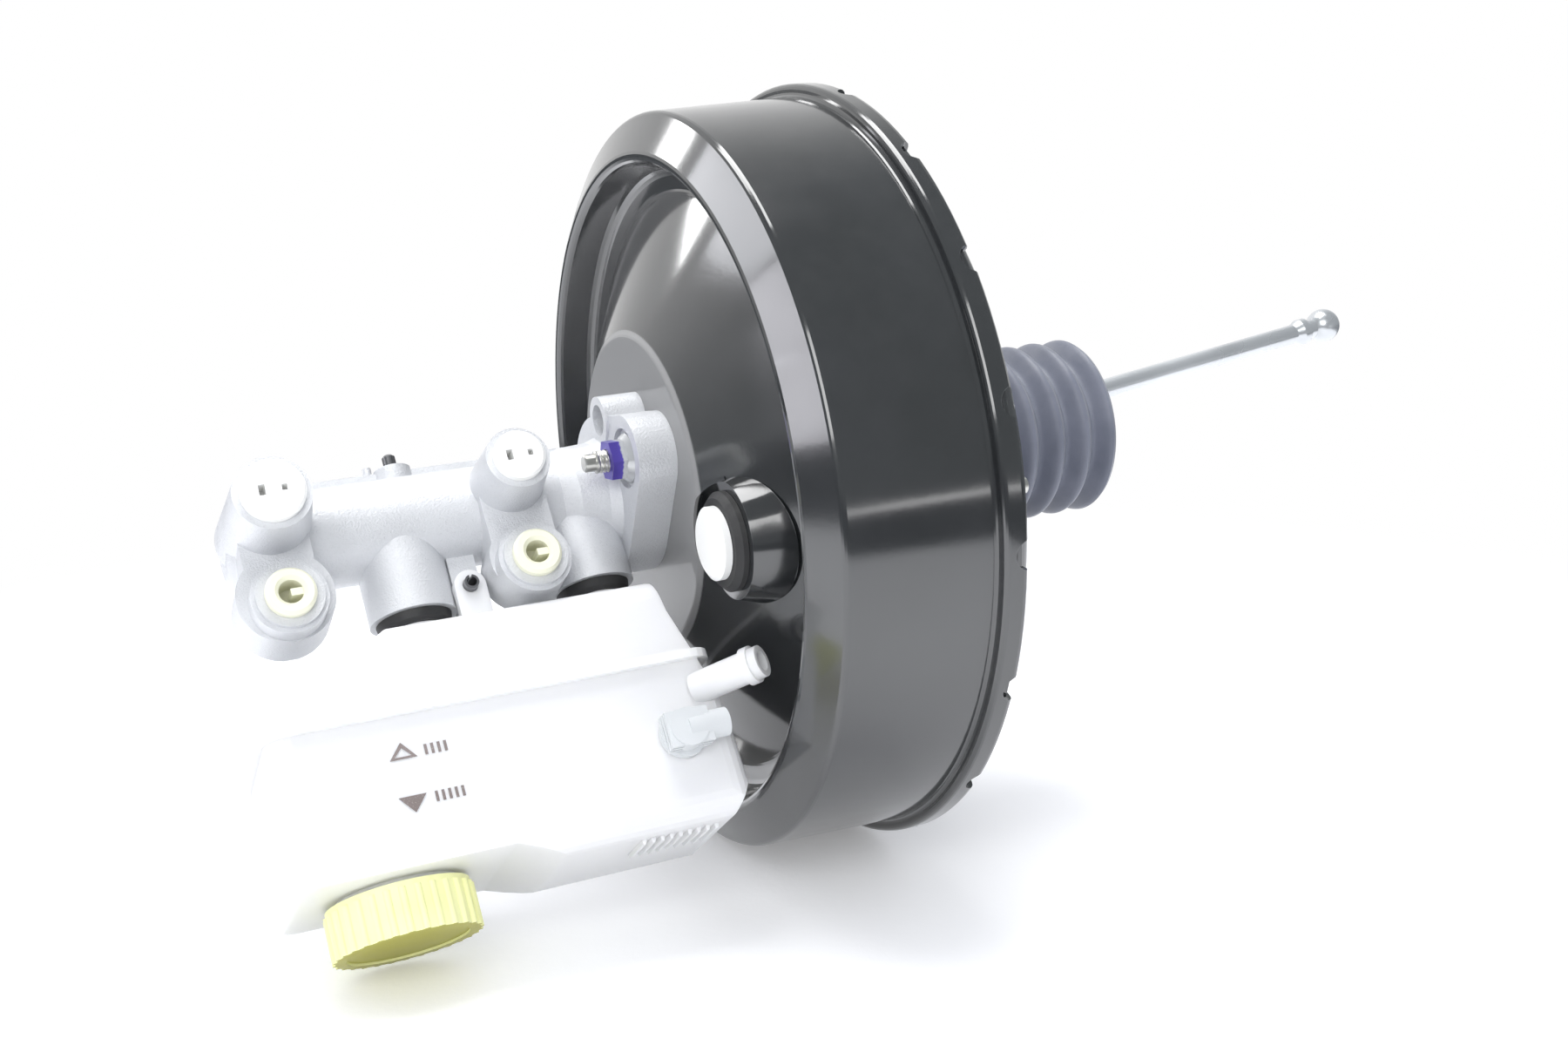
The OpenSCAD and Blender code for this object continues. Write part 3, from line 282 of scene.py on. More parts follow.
def surface(name, look):
    # a worn surface: two near tones, grain, specks, rubbed edges (on the black drum paint partly a painted
    # highlight), a zone of second colour (real paint on the nut, painted shade on the cap's end face, a
    # painted reflection on the drum's front plate) and dust
    material = bpy.data.materials.new(name)
    material.use_nodes = True
    tree = material.node_tree
    shader = tree.nodes["Principled BSDF"]
    setInputs(shader, Metallic=look.get("metal", 0.0), IOR=look.get("ior", 1.5))
    grain = useGroup(tree, grainGroup, -900, -100, Scale=look["grainScale"], Depth=look["grainDepth"],
                     Drift_scale=look.get("drift", 25.0))
    tone = mixColour(tree, -500, 200, look["tone"], look["tone2"],
                     spread(tree, -700, 150, grain.outputs["Drift"], 0.0, 1.0))
    rough = spread(tree, -300, -50, grain.outputs["Drift"], *look["rough"])
    normal = grain.outputs["Normal"]
    if "speck" in look:
        speck = spread(tree, -700, 0, grain.outputs["Fine"], 0.0, look["speck"], *speckRange)
        tone = mixColour(tree, -300, 200, tone, look["speckTone"], speck)
    if "rubAndGlintTone" in look:
        rub = useGroup(tree, rubAndGlintGroup, -900, 250, Width=look.get("edge", 0.0005), Reach=look["rub"])
        tone = mixColour(tree, -120, 250, tone, look["rubAndGlintTone"], rub.outputs["Mask"])
    if "zone" in look:
        zone = look["zone"]
        made = useGroup(tree, paintAndLightZoneGroup, -900, 500, Along=zone["along"], Start=zone["start"],
                        End=zone["end"], Ragged=zone.get("ragged", 0.0))
        mask = made.outputs[zone["by"]]
        tone = mixColour(tree, -60, 450, tone, zone["tone"], mask)
        if "rough" in zone:
            rough = mixNumber(tree, -100, -50, rough, zone["rough"], mask)
    if "dust" in look:
        dust = useGroup(tree, dustGroup, -900, -400, Amount=look["dust"], Scale=dustLook["scale"])
        tone = mixColour(tree, 40, 300, tone, dustLook["tone"], dust.outputs["Mask"])
    if "rings" in look:
        rings = useGroup(tree, ringGroup, -500, -300, **look["rings"])
        tree.links.new(normal, rings.inputs["Normal"])
        normal = rings.outputs["Normal"]
    linkAll(tree,
            (tone, shader.inputs["Base Color"]),
            (rough, shader.inputs["Roughness"]),
            (normal, shader.inputs["Normal"]))
    for key, value in look.get("extra", {}).items():
        shader.inputs[key].default_value = value
    return material


def dress(material, *names):
    for name in names:
        mesh = nodes[name].data
        mesh.materials.clear()
        mesh.materials.append(material)


sharpFrom = {"hard": 0.6, "rubber": 0.9}    # edges turned by more than this stay sharp


def smooth(mesh, angle):
    mesh.shade_smooth()
    mesh.set_sharp_from_angle(angle=angle)


blackPaint = {
    "tone": (0.015, 0.0165, 0.0175), "tone2": (0.021, 0.0225, 0.0245), "rough": (0.1, 0.14),
    "grainScale": 420.0, "grainDepth": 0.00001, "ior": 1.62, "dust": 0.025,
    # the lighter edges here are partly rubbed paint and partly a painted highlight along the drum's rims
    "rubAndGlintTone": (0.16, 0.165, 0.17), "rub": 1.6, "edge": 0.0008,
    "extra": {"Specular IOR Level": 0.85, "Coat Weight": 0.35, "Coat Roughness": 0.06},
    "zone": {"by": "Place mask", "along": (-1.0, 0.0, 0.0), "start": 0.1084, "end": 0.1090,
             "tone": (0.2, 0.2, 0.2), "rough": 0.5}}    # the matt front plate; its grey is a painted reflection of the bright room
dress(surface("gloss black drum paint", blackPaint), "front_shell", "rear_shell")

castMetal = {
    "tone": (0.66, 0.67, 0.69), "tone2": (0.76, 0.77, 0.79), "rough": (0.4, 0.56), "metal": 0.5,
    "grainScale": 1400.0, "grainDepth": 0.00028, "speck": 0.35, "speckTone": (0.5, 0.51, 0.53),
    "rubAndGlintTone": (0.86, 0.87, 0.89), "rub": 2.0}
dress(surface("sand cast aluminium", castMetal), "cylinder_body")

turnedMetal = {
    "tone": (0.6, 0.6, 0.61), "tone2": (0.68, 0.68, 0.7), "rough": (0.2, 0.3), "metal": 1.0,
    "grainScale": 900.0, "grainDepth": 0.00002,
    "rings": {"Pitch": 0.0006, "Depth": 0.00002, "Along": (1.0, 0.0, 0.0)}}
dress(surface("turned piston metal", turnedMetal), "primary_piston", "secondary_piston")

zincPlate = {
    "tone": (0.58, 0.58, 0.56), "tone2": (0.7, 0.69, 0.64), "rough": (0.26, 0.4), "metal": 1.0,
    "grainScale": 1100.0, "grainDepth": 0.00004, "rubAndGlintTone": (0.8, 0.8, 0.8), "rub": 2.0}
zincSteel = surface("zinc plated steel", zincPlate)
dress(zincSteel, "reinforcement", "diaphragm_plate", "spring_retainer", "valve_key", "mount_studs",
      "flange_studs")

stopMetal = dict(zincPlate, tone=(0.2, 0.2, 0.21), tone2=(0.32, 0.32, 0.33))
dress(surface("dark stop pin", stopMetal), "stop_bolt")

brightSteel = {
    "tone": (0.62, 0.64, 0.66), "tone2": (0.72, 0.74, 0.76), "rough": (0.24, 0.32), "metal": 0.8,
    "grainScale": 700.0, "grainDepth": 0.00001}
dress(surface("ground bright steel", brightSteel), "push_rod", "valve_plunger", "output_rod")

springWire = {
    "tone": (0.16, 0.16, 0.17), "tone2": (0.24, 0.24, 0.25), "rough": (0.3, 0.45), "metal": 0.9,
    "grainScale": 900.0, "grainDepth": 0.00003}
dress(surface("oiled spring wire", springWire), "return_spring", "primary_spring", "secondary_spring",
      "poppet_spring", "snap_ring", "retaining_pin")

violetCoat = {
    "tone": (0.07, 0.05, 0.36), "tone2": (0.15, 0.11, 0.52), "rough": (0.22, 0.36), "metal": 0.6,
    "grainScale": 900.0, "grainDepth": 0.00004, "rubAndGlintTone": (0.5, 0.48, 0.66), "rub": 2.5,
    "zone": {"by": "Place mask", "along": (1.0, 0.0, 0.0), "start": -0.1262, "end": -0.1256,
             "ragged": 0.0012, "tone": (0.6, 0.61, 0.62)}}    # the washer's bare silver
dress(surface("violet coated nut", violetCoat), "flange_nuts")

blackRubber = {
    "tone": (0.014, 0.014, 0.015), "tone2": (0.03, 0.03, 0.031), "rough": (0.5, 0.68),
    "grainScale": 1200.0, "grainDepth": 0.00006, "dust": 0.15}
dress(surface("black moulded rubber", blackRubber), "vacuum_grommet", "spigot_seal", "diaphragm",
      "rear_seal", "poppet_seal", "reaction_disc", "primary_cups", "secondary_cups",
      "reservoir_grommets", "cap_seal")

bootRubber = {
    "tone": (0.125, 0.137, 0.178), "tone2": (0.18, 0.192, 0.24), "rough": (0.38, 0.52),
    "grainScale": 800.0, "grainDepth": 0.00006, "drift": 40.0, "dust": 0.2,
    "speck": 0.2, "speckTone": (0.2, 0.21, 0.25), "extra": {"Sheen Weight": 0.15}}
foldRubber = surface("blue grey boot rubber", bootRubber)
dress(foldRubber, "boot")

darkPlastic = {
    "tone": (0.03, 0.03, 0.033), "tone2": (0.05, 0.05, 0.053), "rough": (0.45, 0.6),
    "grainScale": 900.0, "grainDepth": 0.00005}
dress(surface("dark moulded plastic", darkPlastic), "valve_body", "float")

palePlastic = {
    "tone": (0.6, 0.62, 0.63), "tone2": (0.68, 0.7, 0.71), "rough": (0.4, 0.55),
    "grainScale": 900.0, "grainDepth": 0.00004}
dress(surface("pale switch plastic", palePlastic), "level_switch", "seal_guide")

whitePlastic = {
    "tone": (0.86, 0.86, 0.84), "tone2": (0.9, 0.9, 0.88), "rough": (0.38, 0.5),
    "grainScale": 700.0, "grainDepth": 0.00005, "speck": 0.1, "speckTone": (0.7, 0.69, 0.65)}
dress(surface("white plug plastic", whitePlastic), "side_plugs", "vacuum_plug")

creamPlastic = {
    "tone": (0.8, 0.8, 0.62), "tone2": (0.86, 0.85, 0.7), "rough": (0.38, 0.5),
    "grainScale": 700.0, "grainDepth": 0.00005}
dress(surface("cream plug plastic", creamPlastic), "low_plugs")

milkyPlastic = {
    "tone": (0.92, 0.925, 0.92), "tone2": (0.95, 0.95, 0.94), "rough": (0.3, 0.42),
    "grainScale": 300.0, "grainDepth": 0.00005,
    "extra": {"Subsurface Weight": 0.5, "Subsurface Radius": (0.01, 0.01, 0.009),
              "Subsurface Scale": 0.6, "Transmission Weight": 0.12}}
milkyTank = surface("milky tank plastic", milkyPlastic)
dress(milkyTank, "reservoir")

yellowPlastic = {
    "tone": (0.87, 0.88, 0.4), "tone2": (0.9, 0.91, 0.52), "rough": (0.32, 0.46),
    "grainScale": 700.0, "grainDepth": 0.00005,
    "zone": {"by": "Facing mask", "along": (0.0, -0.5736, -0.8192), "start": 0.8, "end": 0.95,
             "tone": (0.38, 0.36, 0.03)}}    # painted shade on the cap's end face, darker because it faces the floor
dress(surface("yellow cap plastic", yellowPlastic), "cap")

filterFelt = {
    "tone": (0.14, 0.14, 0.13), "tone2": (0.24, 0.24, 0.22), "rough": (0.85, 0.95),
    "grainScale": 1600.0, "grainDepth": 0.0006}
dress(surface("filter felt", filterFelt), "air_filter")

for part in nodes.values():
    smooth(part.data, sharpFrom["hard"])
print("surfaces dressed")


leanAngle = math.radians(-35.0)
benchTurn = Matrix.Rotation(leanAngle, 4, "X")


def bench(x, y, z):
    # from the upright bench place of cylinder, tank and studs to their leaned place
    return benchTurn @ Vector((x, y, z))


def meshPiece(name, points, faces, material, body=None):
    mesh = bpy.data.meshes.new(name)
    mesh.from_pydata([tuple(point) for point in points], [], faces)
    form = bmesh.new()
    form.from_mesh(mesh)
    bmesh.ops.recalc_face_normals(form, faces=form.faces)
    form.to_mesh(mesh)
    form.free()
    mesh.materials.append(material)
    piece = bpy.data.objects.new(name, mesh)
    bpy.context.collection.objects.link(piece)
    if body:
        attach(piece, body)
    return piece


def ringFaces(base, rows, around, closed=False):
    # four-sided faces between neighbouring rings of points
    faces = []
    for i in range(rows if closed else rows - 1):
        here = base + i * around
        there = base + (i + 1) % rows * around
        for k in range(around):
            m = (k + 1) % around
            faces.append((here + k, here + m, there + m, there + k))
    return faces


bootForm = {
    "start": 0.0166, "neckEnd": 0.0277, "collar": 0.0341, "bevel": 0.0006, "bevelRun": 0.0005,
    "grooveFrom": 0.0035, "grooveTo": 0.0072, "grooveDepth": 0.0007,
    "first": 0.032, "pitch": 0.012, "folds": 4, "fold": 0.0343, "depth": 0.0058, "foldSteps": 18,
    "foldFullness": 0.8,
    "lap": ((-0.002, -0.0033), (-0.0002, -0.0019), (0.0, 0.0)),    # the nose starts inside the last fold
    "dome": 0.0063, "domeRim": 0.011, "domeFullness": 0.9, "domeTurns": (15, 30, 45, 60, 72, 82),
    "root": ((0.0, 0.0098), (0.0003, 0.008), (0.001, 0.0067), (0.002, 0.0062)),
    "sleeve": 0.0062, "sleeveRun": 0.004, "hole": 0.00415, "wall": 0.0018, "around": 144,
    "faceFrom": 0.06, "faceRadius": 0.03,    # nearer the end, the inner line is set back as well
    "pivot": -0.007, "tilt": math.radians(7.0), "tiltFrom": 0.07, "tiltRadius": 0.033, "tiltOver": 0.022,
    "stretchFrom": 0.026,
    "swingFrom": 0.003, "swingTo": 0.0005}    # behind the last fold, and behind the end face
bootTop = bootForm["first"] + bootForm["pitch"] * (bootForm["folds"] - 0.5)
bootEnd = bootTop + bootForm["dome"]


def foldLine():
    # along the boot and out from its middle: grooved collar, then the folds
    f = bootForm
    collar, start, end = f["collar"], f["start"], f["neckEnd"]
    low = collar - f["grooveDepth"]
    line = [(start, collar - f["bevel"]), (start + f["bevelRun"], collar),
            (start + f["grooveFrom"], collar), (start + f["grooveFrom"] + f["grooveDepth"], low),
            (start + f["grooveTo"] - f["grooveDepth"], low), (start + f["grooveTo"], collar),
            (end - f["bevel"], collar), (end, collar - f["bevel"])]
    steps = f["foldSteps"]
    for i in range(1, int((f["folds"] - 0.5) * steps) + 1):
        swell = (0.5 - 0.5 * math.cos(2 * math.pi * i / steps)) ** f["foldFullness"]
        line.append((f["first"] + f["pitch"] * i / steps, f["fold"] - f["depth"] * (1 - swell)))
    return line


def noseLine():
    # the rounded end behind the last fold and the sleeve that grips the rod
    f = bootForm
    line = [(bootTop + x, f["fold"] + r) for x, r in f["lap"]]
    for degrees in f["domeTurns"]:
        a = math.radians(degrees)
        drop = (f["fold"] - f["domeRim"]) * (1 - math.cos(a)) ** f["domeFullness"]
        line.append((bootTop + f["dome"] * math.sin(a), f["fold"] - drop))
    tip = bootEnd + f["sleeveRun"]
    line += [(bootEnd + x, r) for x, r in f["root"]]
    line += [(tip - f["bevelRun"], f["sleeve"]), (tip, f["sleeve"] - f["bevel"]), (tip, f["hole"])]
    return line


def bootShell(name, outer, material):
    # the outer line and an inner one a wall's thickness away, turned; the end face rises with the rod
    f = bootForm
    n = f["around"]
    inner = []
    for x, r in reversed(outer[:-1]):
        back = f["wall"] if r < f["faceRadius"] and x > f["faceFrom"] else 0.0
        inner.append((x - back, max(r - f["wall"], f["hole"])))
    line = outer + inner
    points = []
    for x, r in line:
        grip = 0.0
        if x > f["tiltFrom"]:
            grip = max(0.0, min(1.0, (f["tiltRadius"] - r) / f["tiltOver"]))
        rise = (x - f["pivot"]) * math.tan(f["tilt"]) * grip * grip * (3 - 2 * grip)
        for k in range(n):
            a = 2 * math.pi * k / n
            points.append((x, r * math.cos(a), rise + r * math.sin(a)))
    piece = meshPiece(name, points, ringFaces(0, len(line), n, closed=True), material)
    smooth(piece.data, sharpFrom["rubber"])
    return piece


def makeBoot(material):
    # the folds between the shell and the piston, and the nose behind the last fold along the rod, drawn in
    # place of the CAD boot
    folds = bootShell("rearBoot", foldLine(), material)
    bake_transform(folds)
    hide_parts("boot")
    nose = bootShell("bootNose", noseLine(), material)
    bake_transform(nose)


makeBoot(foldRubber)
print("boot folded")


softPieces = {    # CAD node: piece name, what pushes it, and where its stretch starts and ends along X
    "return_spring": ("squeezedReturnSpring", "power_piston", -0.1052, -0.0385),
    "diaphragm": ("rollingDiaphragm", "power_piston", -0.0342, -0.0285),
    "primary_spring": ("squeezedPrimarySpring", "primary", -0.2107, -0.1477),
    "secondary_spring": ("squeezedSecondarySpring", "secondary", -0.2514, -0.212)}


def makeSoftPieces():
    # soft CAD pieces drawn again as copies of their meshes, with the CAD pieces hidden
    for source, (name, mover, start, end) in softPieces.items():
        piece = bpy.data.objects.new(name, nodes[source].data.copy())
        bpy.context.collection.objects.link(piece)
        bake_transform(piece)
        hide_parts(source)


makeSoftPieces()


threadForm = {"radius": 0.004, "pitch": 0.00125, "depth": 0.0007, "crest": 1.25, "perPitch": 8,
              "around": 32, "fade": 0.0012}
studCircle = 0.05
studCorners = [math.radians(45 + 90 * i) for i in range(4)]
flangeStud = {
    "line": ((-0.1388, 0.0026), (-0.1383, 0.0031), (-0.1348, 0.0031), (-0.1348, 0.0036),
             (-0.1344, 0.004), (-0.1082, 0.004), (-0.1082, 0.006), (-0.1058, 0.006)),
    "from": -0.1343, "to": -0.1295, "spots": ((0.032, 0.0), (-0.032, 0.0))}
mountStud = {
    "line": ((-0.0046, 0.0076), (-0.0042, 0.008), (-0.0016, 0.008), (-0.0016, 0.0045), (0.0, 0.0045),
             (0.0, 0.004), (0.0196, 0.004), (0.02, 0.0036), (0.02, 0.0032), (0.0236, 0.0032),
             (0.024, 0.0028)),
    "from": 0.0008, "to": 0.0194,
    "spots": [(-studCircle * math.sin(a), studCircle * math.cos(a)) for a in studCorners]}


def threadCut(x, start, end):
    # full depth along the thread, running out over the fade at both ends
    return threadForm["depth"] * min(1.0, (x - start) / threadForm["fade"], (end - x) / threadForm["fade"])


def makeStuds(name, form, replaced):
    # each stud is turned about its own line, with a real helical thread cut into its shank
    f = threadForm
    n = f["around"]
    start, end = form["from"], form["to"]
    steps = int((end - start) / f["pitch"] * f["perPitch"])
    shank = [start + (end - start) * i / steps for i in range(steps + 1)]
    stations = [(x, r, 0.0) for x, r in form["line"] if x < start]
    stations += [(x, f["radius"], threadCut(x, start, end)) for x in shank]
    stations += [(x, r, 0.0) for x, r in form["line"] if x > end]
    points, faces = [], []
    for y, z in form["spots"]:
        base = len(points)
        for x, r, cut in stations:
            for k in range(n):
                a = 2 * math.pi * k / n
                wave = abs(2 * ((x / f["pitch"] - k / n) % 1.0) - 1)
                reach = r - cut * (1 - min(1.0, wave * f["crest"]))
                points.append(bench(x, y + reach * math.cos(a), z + reach * math.sin(a)))
        faces += ringFaces(base, len(stations), n)
        faces += [tuple(range(base, base + n)), tuple(range(len(points) - n, len(points)))]
    piece = meshPiece(name, points, faces, zincSteel, "housing")
    smooth(piece.data, sharpFrom["hard"])
    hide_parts(replaced)


makeStuds("flangeStuds", flangeStud, "flange_studs")
makeStuds("rearMountStuds", mountStud, "mount_studs")
print("stud threads cut")


inkLook = {
    "tone": (0.16, 0.13, 0.12), "tone2": (0.24, 0.2, 0.19), "rough": (0.5, 0.6),
    "grainScale": 2400.0, "grainDepth": 0.00002, "speck": 0.6, "speckTone": (0.5, 0.48, 0.46)}
levelMarks = {
    "x": -0.2225, "low": 0.0902, "high": 0.1023, "half": 0.0044, "tall": 0.0054, "face": 0.0321,
    "proud": 0.0002, "rim": 0.0011, "middle": 0.36, "mitre": 1.6,
    "gap": 0.0026, "tick": 0.0009, "tickPitch": 0.0021, "tickTall": 0.0034}


def inkPatch(name, outline, ink):
    # a thin raised print on the tank's side; the outline is along the row and down the bench
    side, proud = levelMarks["face"], levelMarks["face"] + levelMarks["proud"]
    count = len(outline)
    points = [bench(x, -out, -down) for out in (side, proud) for x, down in outline]
    faces = [tuple(range(count)), tuple(range(count, 2 * count))] + ringFaces(0, 2, count)
    meshPiece(name, points, faces, ink, "housing")


def levelBars(name, left, right, tip, ink):
    # an open triangle of three bars
    f = levelMarks
    middle = Vector(((left[0] + right[0]) / 2, left[1] + (tip[1] - left[1]) * f["middle"]))
    for part, a, b in (("Base", left, right), ("Left", left, tip), ("Right", right, tip)):
        inward = []
        for corner in (b, a):
            corner = Vector(corner)
            inward.append(tuple(corner.lerp(middle, f["rim"] * f["mitre"] / (corner - middle).length)))
        inkPatch(name + part, [a, b] + inward, ink)


def makeLevelMark(name, place, sense, ticks, solid, ink):
    f = levelMarks
    left, right = (f["x"] - f["half"], place), (f["x"] + f["half"], place)
    tip = (f["x"], place + sense * f["tall"])
    if solid:
        inkPatch(name, [left, right, tip], ink)
    else:
        levelBars(name, left, right, tip, ink)
    far = place + sense * f["tickTall"]
    for k in range(ticks):
        start = right[0] + f["gap"] + k * f["tickPitch"]
        end = start + f["tick"]
        inkPatch(name + "Tick" + str(k), [(start, place), (end, place), (end, far), (start, far)], ink)


levelInk = surface("grey level ink", inkLook)
makeLevelMark("lowerLevelMark", levelMarks["low"], -1, 4, False, levelInk)
makeLevelMark("upperLevelMark", levelMarks["high"], 1, 5, True, levelInk)
print("level marks printed")


tankRibs = {
    "first": -0.125, "pitch": 0.0032, "count": 9, "foot": 0.0008, "crown": 0.0005, "slant": 0.0012,
    "from": -0.022, "to": -0.002, "face": 0.1298, "proud": 0.0017}


def makeTankRibs():
    # a row of low moulded ribs across the far face of the tank
    f = tankRibs
    points, faces = [], []
    for i in range(f["count"]):
        x = f["first"] - f["pitch"] * i
        base = len(points)
        for half, lift, slant in ((f["foot"], 0.0, 0.0), (f["crown"], f["proud"], f["slant"])):
            near, far = f["from"] + slant, f["to"] - slant
            corners = ((x - half, near), (x + half, near), (x + half, far), (x - half, far))
            points += [bench(along, across, -f["face"] - lift) for along, across in corners]
        faces += [tuple(range(base, base + 4)), tuple(range(base + 4, base + 8))]
        faces += ringFaces(base, 2, 4)
    meshPiece("tankRibs", points, faces, milkyTank, "housing")


makeTankRibs()
print("tank ribs moulded")


floorPlan = {
    "tilt": 0.0567, "touch": (-0.0355, 0.0, -0.1412), "drop": 0.0005, "size": 14.0,
    "tone": (0.84, 0.84, 0.85), "tone2": (0.88, 0.88, 0.885), "dim": (0.16, 0.17, 0.18), "lift": 0.22,
    "whiteFrom": 0.28, "whiteTo": 0.62, "benchEnd": 0.6, "roomStart": 0.78}


def distanceShare(tree, start, end):
    # rises from 0 to 1 between two distances from the middle
    place = node(tree, "ShaderNodeTexCoord", -900, -400)
    away = node(tree, "ShaderNodeVectorMath", -700, -400, operation="LENGTH")
    share = node(tree, "ShaderNodeMapRange", -500, -400, interpolation_type="SMOOTHSTEP")
    setInputs(share, From_Min=start, From_Max=end)
    linkAll(tree, (place.outputs["Object"], away.inputs[0]), (away.outputs["Value"], share.inputs["Value"]))
    return share.outputs["Result"]


def glow(tree, colour, strength):
    made = node(tree, "ShaderNodeEmission", 200, -300)
    setInputs(made, Color=(*colour, 1.0), Strength=strength)
    return made.outputs["Emission"]


def mixShader(tree, x, share, first, second):
    made = node(tree, "ShaderNodeMixShader", x, -150)
    linkAll(tree, (share, made.inputs["Fac"]), (first, made.inputs[1]), (second, made.inputs[2]))
    return made.outputs["Shader"]


def makeFloor():
    # a pale bench that fades to plain white round the object; in reflections it ends like a table
    f = floorPlan
    bpy.ops.mesh.primitive_plane_add(size=f["size"])
    floor = bpy.context.object
    floor.name = "paleFloor"
    floor.rotation_euler = (0.0, math.atan(f["tilt"]), 0.0)
    floor.location = Vector(f["touch"]) - Vector((0.0, 0.0, f["drop"]))
    material = bpy.data.materials.new("pale bench")
    material.use_nodes = True
    tree = material.node_tree
    shader = tree.nodes["Principled BSDF"]
    setInputs(shader, Roughness=0.7)
    grain = useGroup(tree, grainGroup, -700, 0, Scale=260.0, Depth=0.0001, Drift_scale=3.0)
    tone = mixColour(tree, -300, 0, f["tone"], f["tone2"], grain.outputs["Drift"])
    lifted = node(tree, "ShaderNodeAddShader", 400, -50)
    path = node(tree, "ShaderNodeLightPath", 100, 400)
    linkAll(tree,
            (tone, shader.inputs["Base Color"]),
            (grain.outputs["Normal"], shader.inputs["Normal"]),
            (shader.outputs["BSDF"], lifted.inputs[0]),
            (glow(tree, (1.0, 1.0, 1.0), f["lift"]), lifted.inputs[1]))
    cameraSide = mixShader(tree, 600, distanceShare(tree, f["whiteFrom"], f["whiteTo"]),
                           lifted.outputs["Shader"], glow(tree, (1.0, 1.0, 1.0), 1.0))
    glossSide = mixShader(tree, 600, distanceShare(tree, f["benchEnd"], f["roomStart"]),
                          lifted.outputs["Shader"], glow(tree, f["dim"], 1.0))
    other = mixShader(tree, 800, path.outputs["Is Glossy Ray"], shader.outputs["BSDF"], glossSide)
    seen = mixShader(tree, 1000, path.outputs["Is Camera Ray"], other, cameraSide)
    tree.links.new(seen, tree.nodes["Material Output"].inputs["Surface"])
    floor.data.materials.append(material)


roomTones = {
    "plain": (0.9, 0.93, 1.0), "strength": 0.86, "backdrop": (1.0, 1.0, 1.0), "dusk": (0.3, 0.32, 0.33),
    "duskUntil": 0.1, "backdropFrom": 0.95}


def makeWorld():
    # white to the camera; reflections see a white backdrop behind and a dimmer room in front
    f = roomTones
    world = bpy.data.worlds.new("soft room")
    world.use_nodes = True
    tree = world.node_tree
    plain = tree.nodes["Background"]
    setInputs(plain, Color=(*f["plain"], 1.0), Strength=f["strength"])
    white = node(tree, "ShaderNodeBackground", 0, -200)
    setInputs(white, Color=(1.0, 1.0, 1.0, 1.0), Strength=1.0)
    room = node(tree, "ShaderNodeBackground", 0, -400)
    place = node(tree, "ShaderNodeTexCoord", -800, -500)
    split = node(tree, "ShaderNodeSeparateXYZ", -600, -500)
    behind = node(tree, "ShaderNodeMapRange", -400, -500, interpolation_type="SMOOTHSTEP")
    setInputs(behind, From_Min=f["duskUntil"], From_Max=f["backdropFrom"])
    path = node(tree, "ShaderNodeLightPath", -200, 300)
    tone = mixColour(tree, -200, -500, f["dusk"], f["backdrop"], behind.outputs["Result"])
    linkAll(tree,
            (place.outputs["Generated"], split.inputs["Vector"]),
            (split.outputs["Y"], behind.inputs["Value"]),
            (tone, room.inputs["Color"]))
    other = mixShader(tree, 300, path.outputs["Is Glossy Ray"], plain.outputs["Background"],
                      room.outputs["Background"])
    seen = mixShader(tree, 500, path.outputs["Is Camera Ray"], other, white.outputs["Background"])
    tree.links.new(seen, tree.nodes["World Output"].inputs["Surface"])
    bpy.context.scene.world = world


def softBox(name, place, target, width, height, power, tint=(1.0, 1.0, 1.0), roll=0.0):
    light = bpy.data.lights.new(name, "AREA")
    light.shape = "RECTANGLE"
    light.size = width
    light.size_y = height
    light.energy = power
    light.color = tint
    lamp = bpy.data.objects.new(name, light)
    bpy.context.collection.objects.link(lamp)
    facing = (Vector(target) - Vector(place)).to_track_quat("-Z", "Y").to_matrix().to_4x4()
    spin = Matrix.Rotation(math.radians(roll), 4, "Z")
    lamp.matrix_world = Matrix.Translation(place) @ facing @ spin


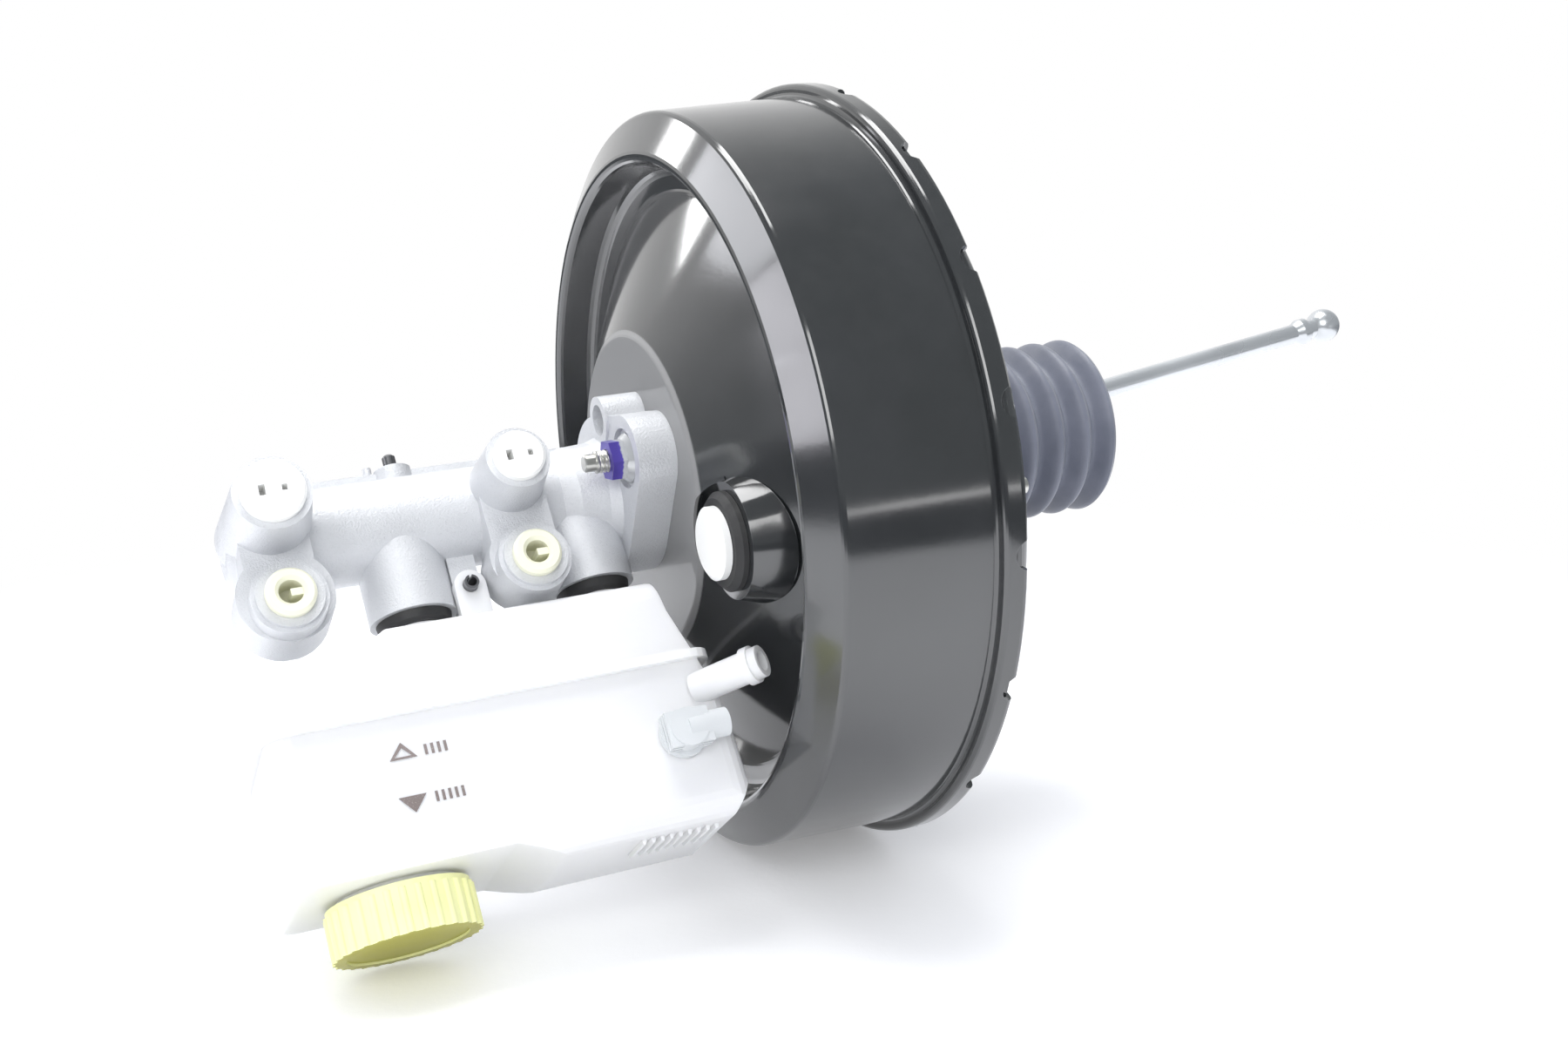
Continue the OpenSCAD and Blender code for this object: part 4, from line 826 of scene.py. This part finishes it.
windowSpot = {"rim": (-0.098, -0.07, 0.07), "away": 1.4}
windows = (    # name, turn from +X round to +Y, rise above level, width, height, power, tint, roll
    ("high back window", 115.0, 21.5, 0.2, 0.18, 1.1, (1.0, 1.0, 1.0), 0.0),
    ("left back window", 140.0, 24.5, 0.68, 0.17, 1.3, (0.94, 0.95, 1.0), 0.0),
    ("left window", 161.0, 16.0, 0.36, 0.14, 0.66, (0.95, 0.94, 1.0), -35.0),
    ("far left window", 170.5, 5.5, 0.34, 0.14, 0.66, (0.95, 0.94, 1.0), -66.0))


def hangWindows():
    # windows that the drum's front rim mirrors to the camera
    rim = Vector(windowSpot["rim"])
    for name, turn, rise, width, height, power, tint, roll in windows:
        a, e = math.radians(turn), math.radians(rise)
        way = Vector((math.cos(e) * math.cos(a), math.cos(e) * math.sin(a), math.sin(e)))
        softBox(name, rim + way * windowSpot["away"], rim, width, height, power, tint, roll)


makeFloor()
makeWorld()
softBox("top softbox", (-0.1, 0.3, 1.6), (-0.08, 0.0, 0.0), width=1.1, height=1.1, power=23.0)
softBox("camera side fill", (-1.0, -1.5, 1.0), (-0.1, 0.0, 0.0), width=1.2, height=1.0, power=16.0)
hangWindows()
softBox("low strip window", (0.72, -1.5, -0.05), (0.0, -0.1, 0.0), width=0.9, height=0.05, power=0.42)
print("floor and light set")


photoView = {
    "eye": (-0.3416, -0.6455, 0.1498), "right": (0.9053, -0.42068, -0.05875),
    "up": (0.15081, 0.18903, 0.97032), "back": (-0.39709, -0.88729, 0.23457),
    "lens": 44.0, "sensor": 36.0, "near": 0.01, "far": 50.0}


def makeCamera():
    eye = bpy.data.cameras.new("photo camera")
    eye.lens = photoView["lens"]
    eye.sensor_width = photoView["sensor"]
    eye.clip_start = photoView["near"]
    eye.clip_end = photoView["far"]
    holder = bpy.data.objects.new("photo camera", eye)
    bpy.context.collection.objects.link(holder)
    turn = Matrix([photoView[key] for key in ("right", "up", "back")]).transposed().to_4x4()
    holder.matrix_world = Matrix.Translation(photoView["eye"]) @ turn
    bpy.context.scene.camera = holder


makeCamera()
bpy.context.scene.view_settings.view_transform = "Standard"
print("camera at the photo's place")
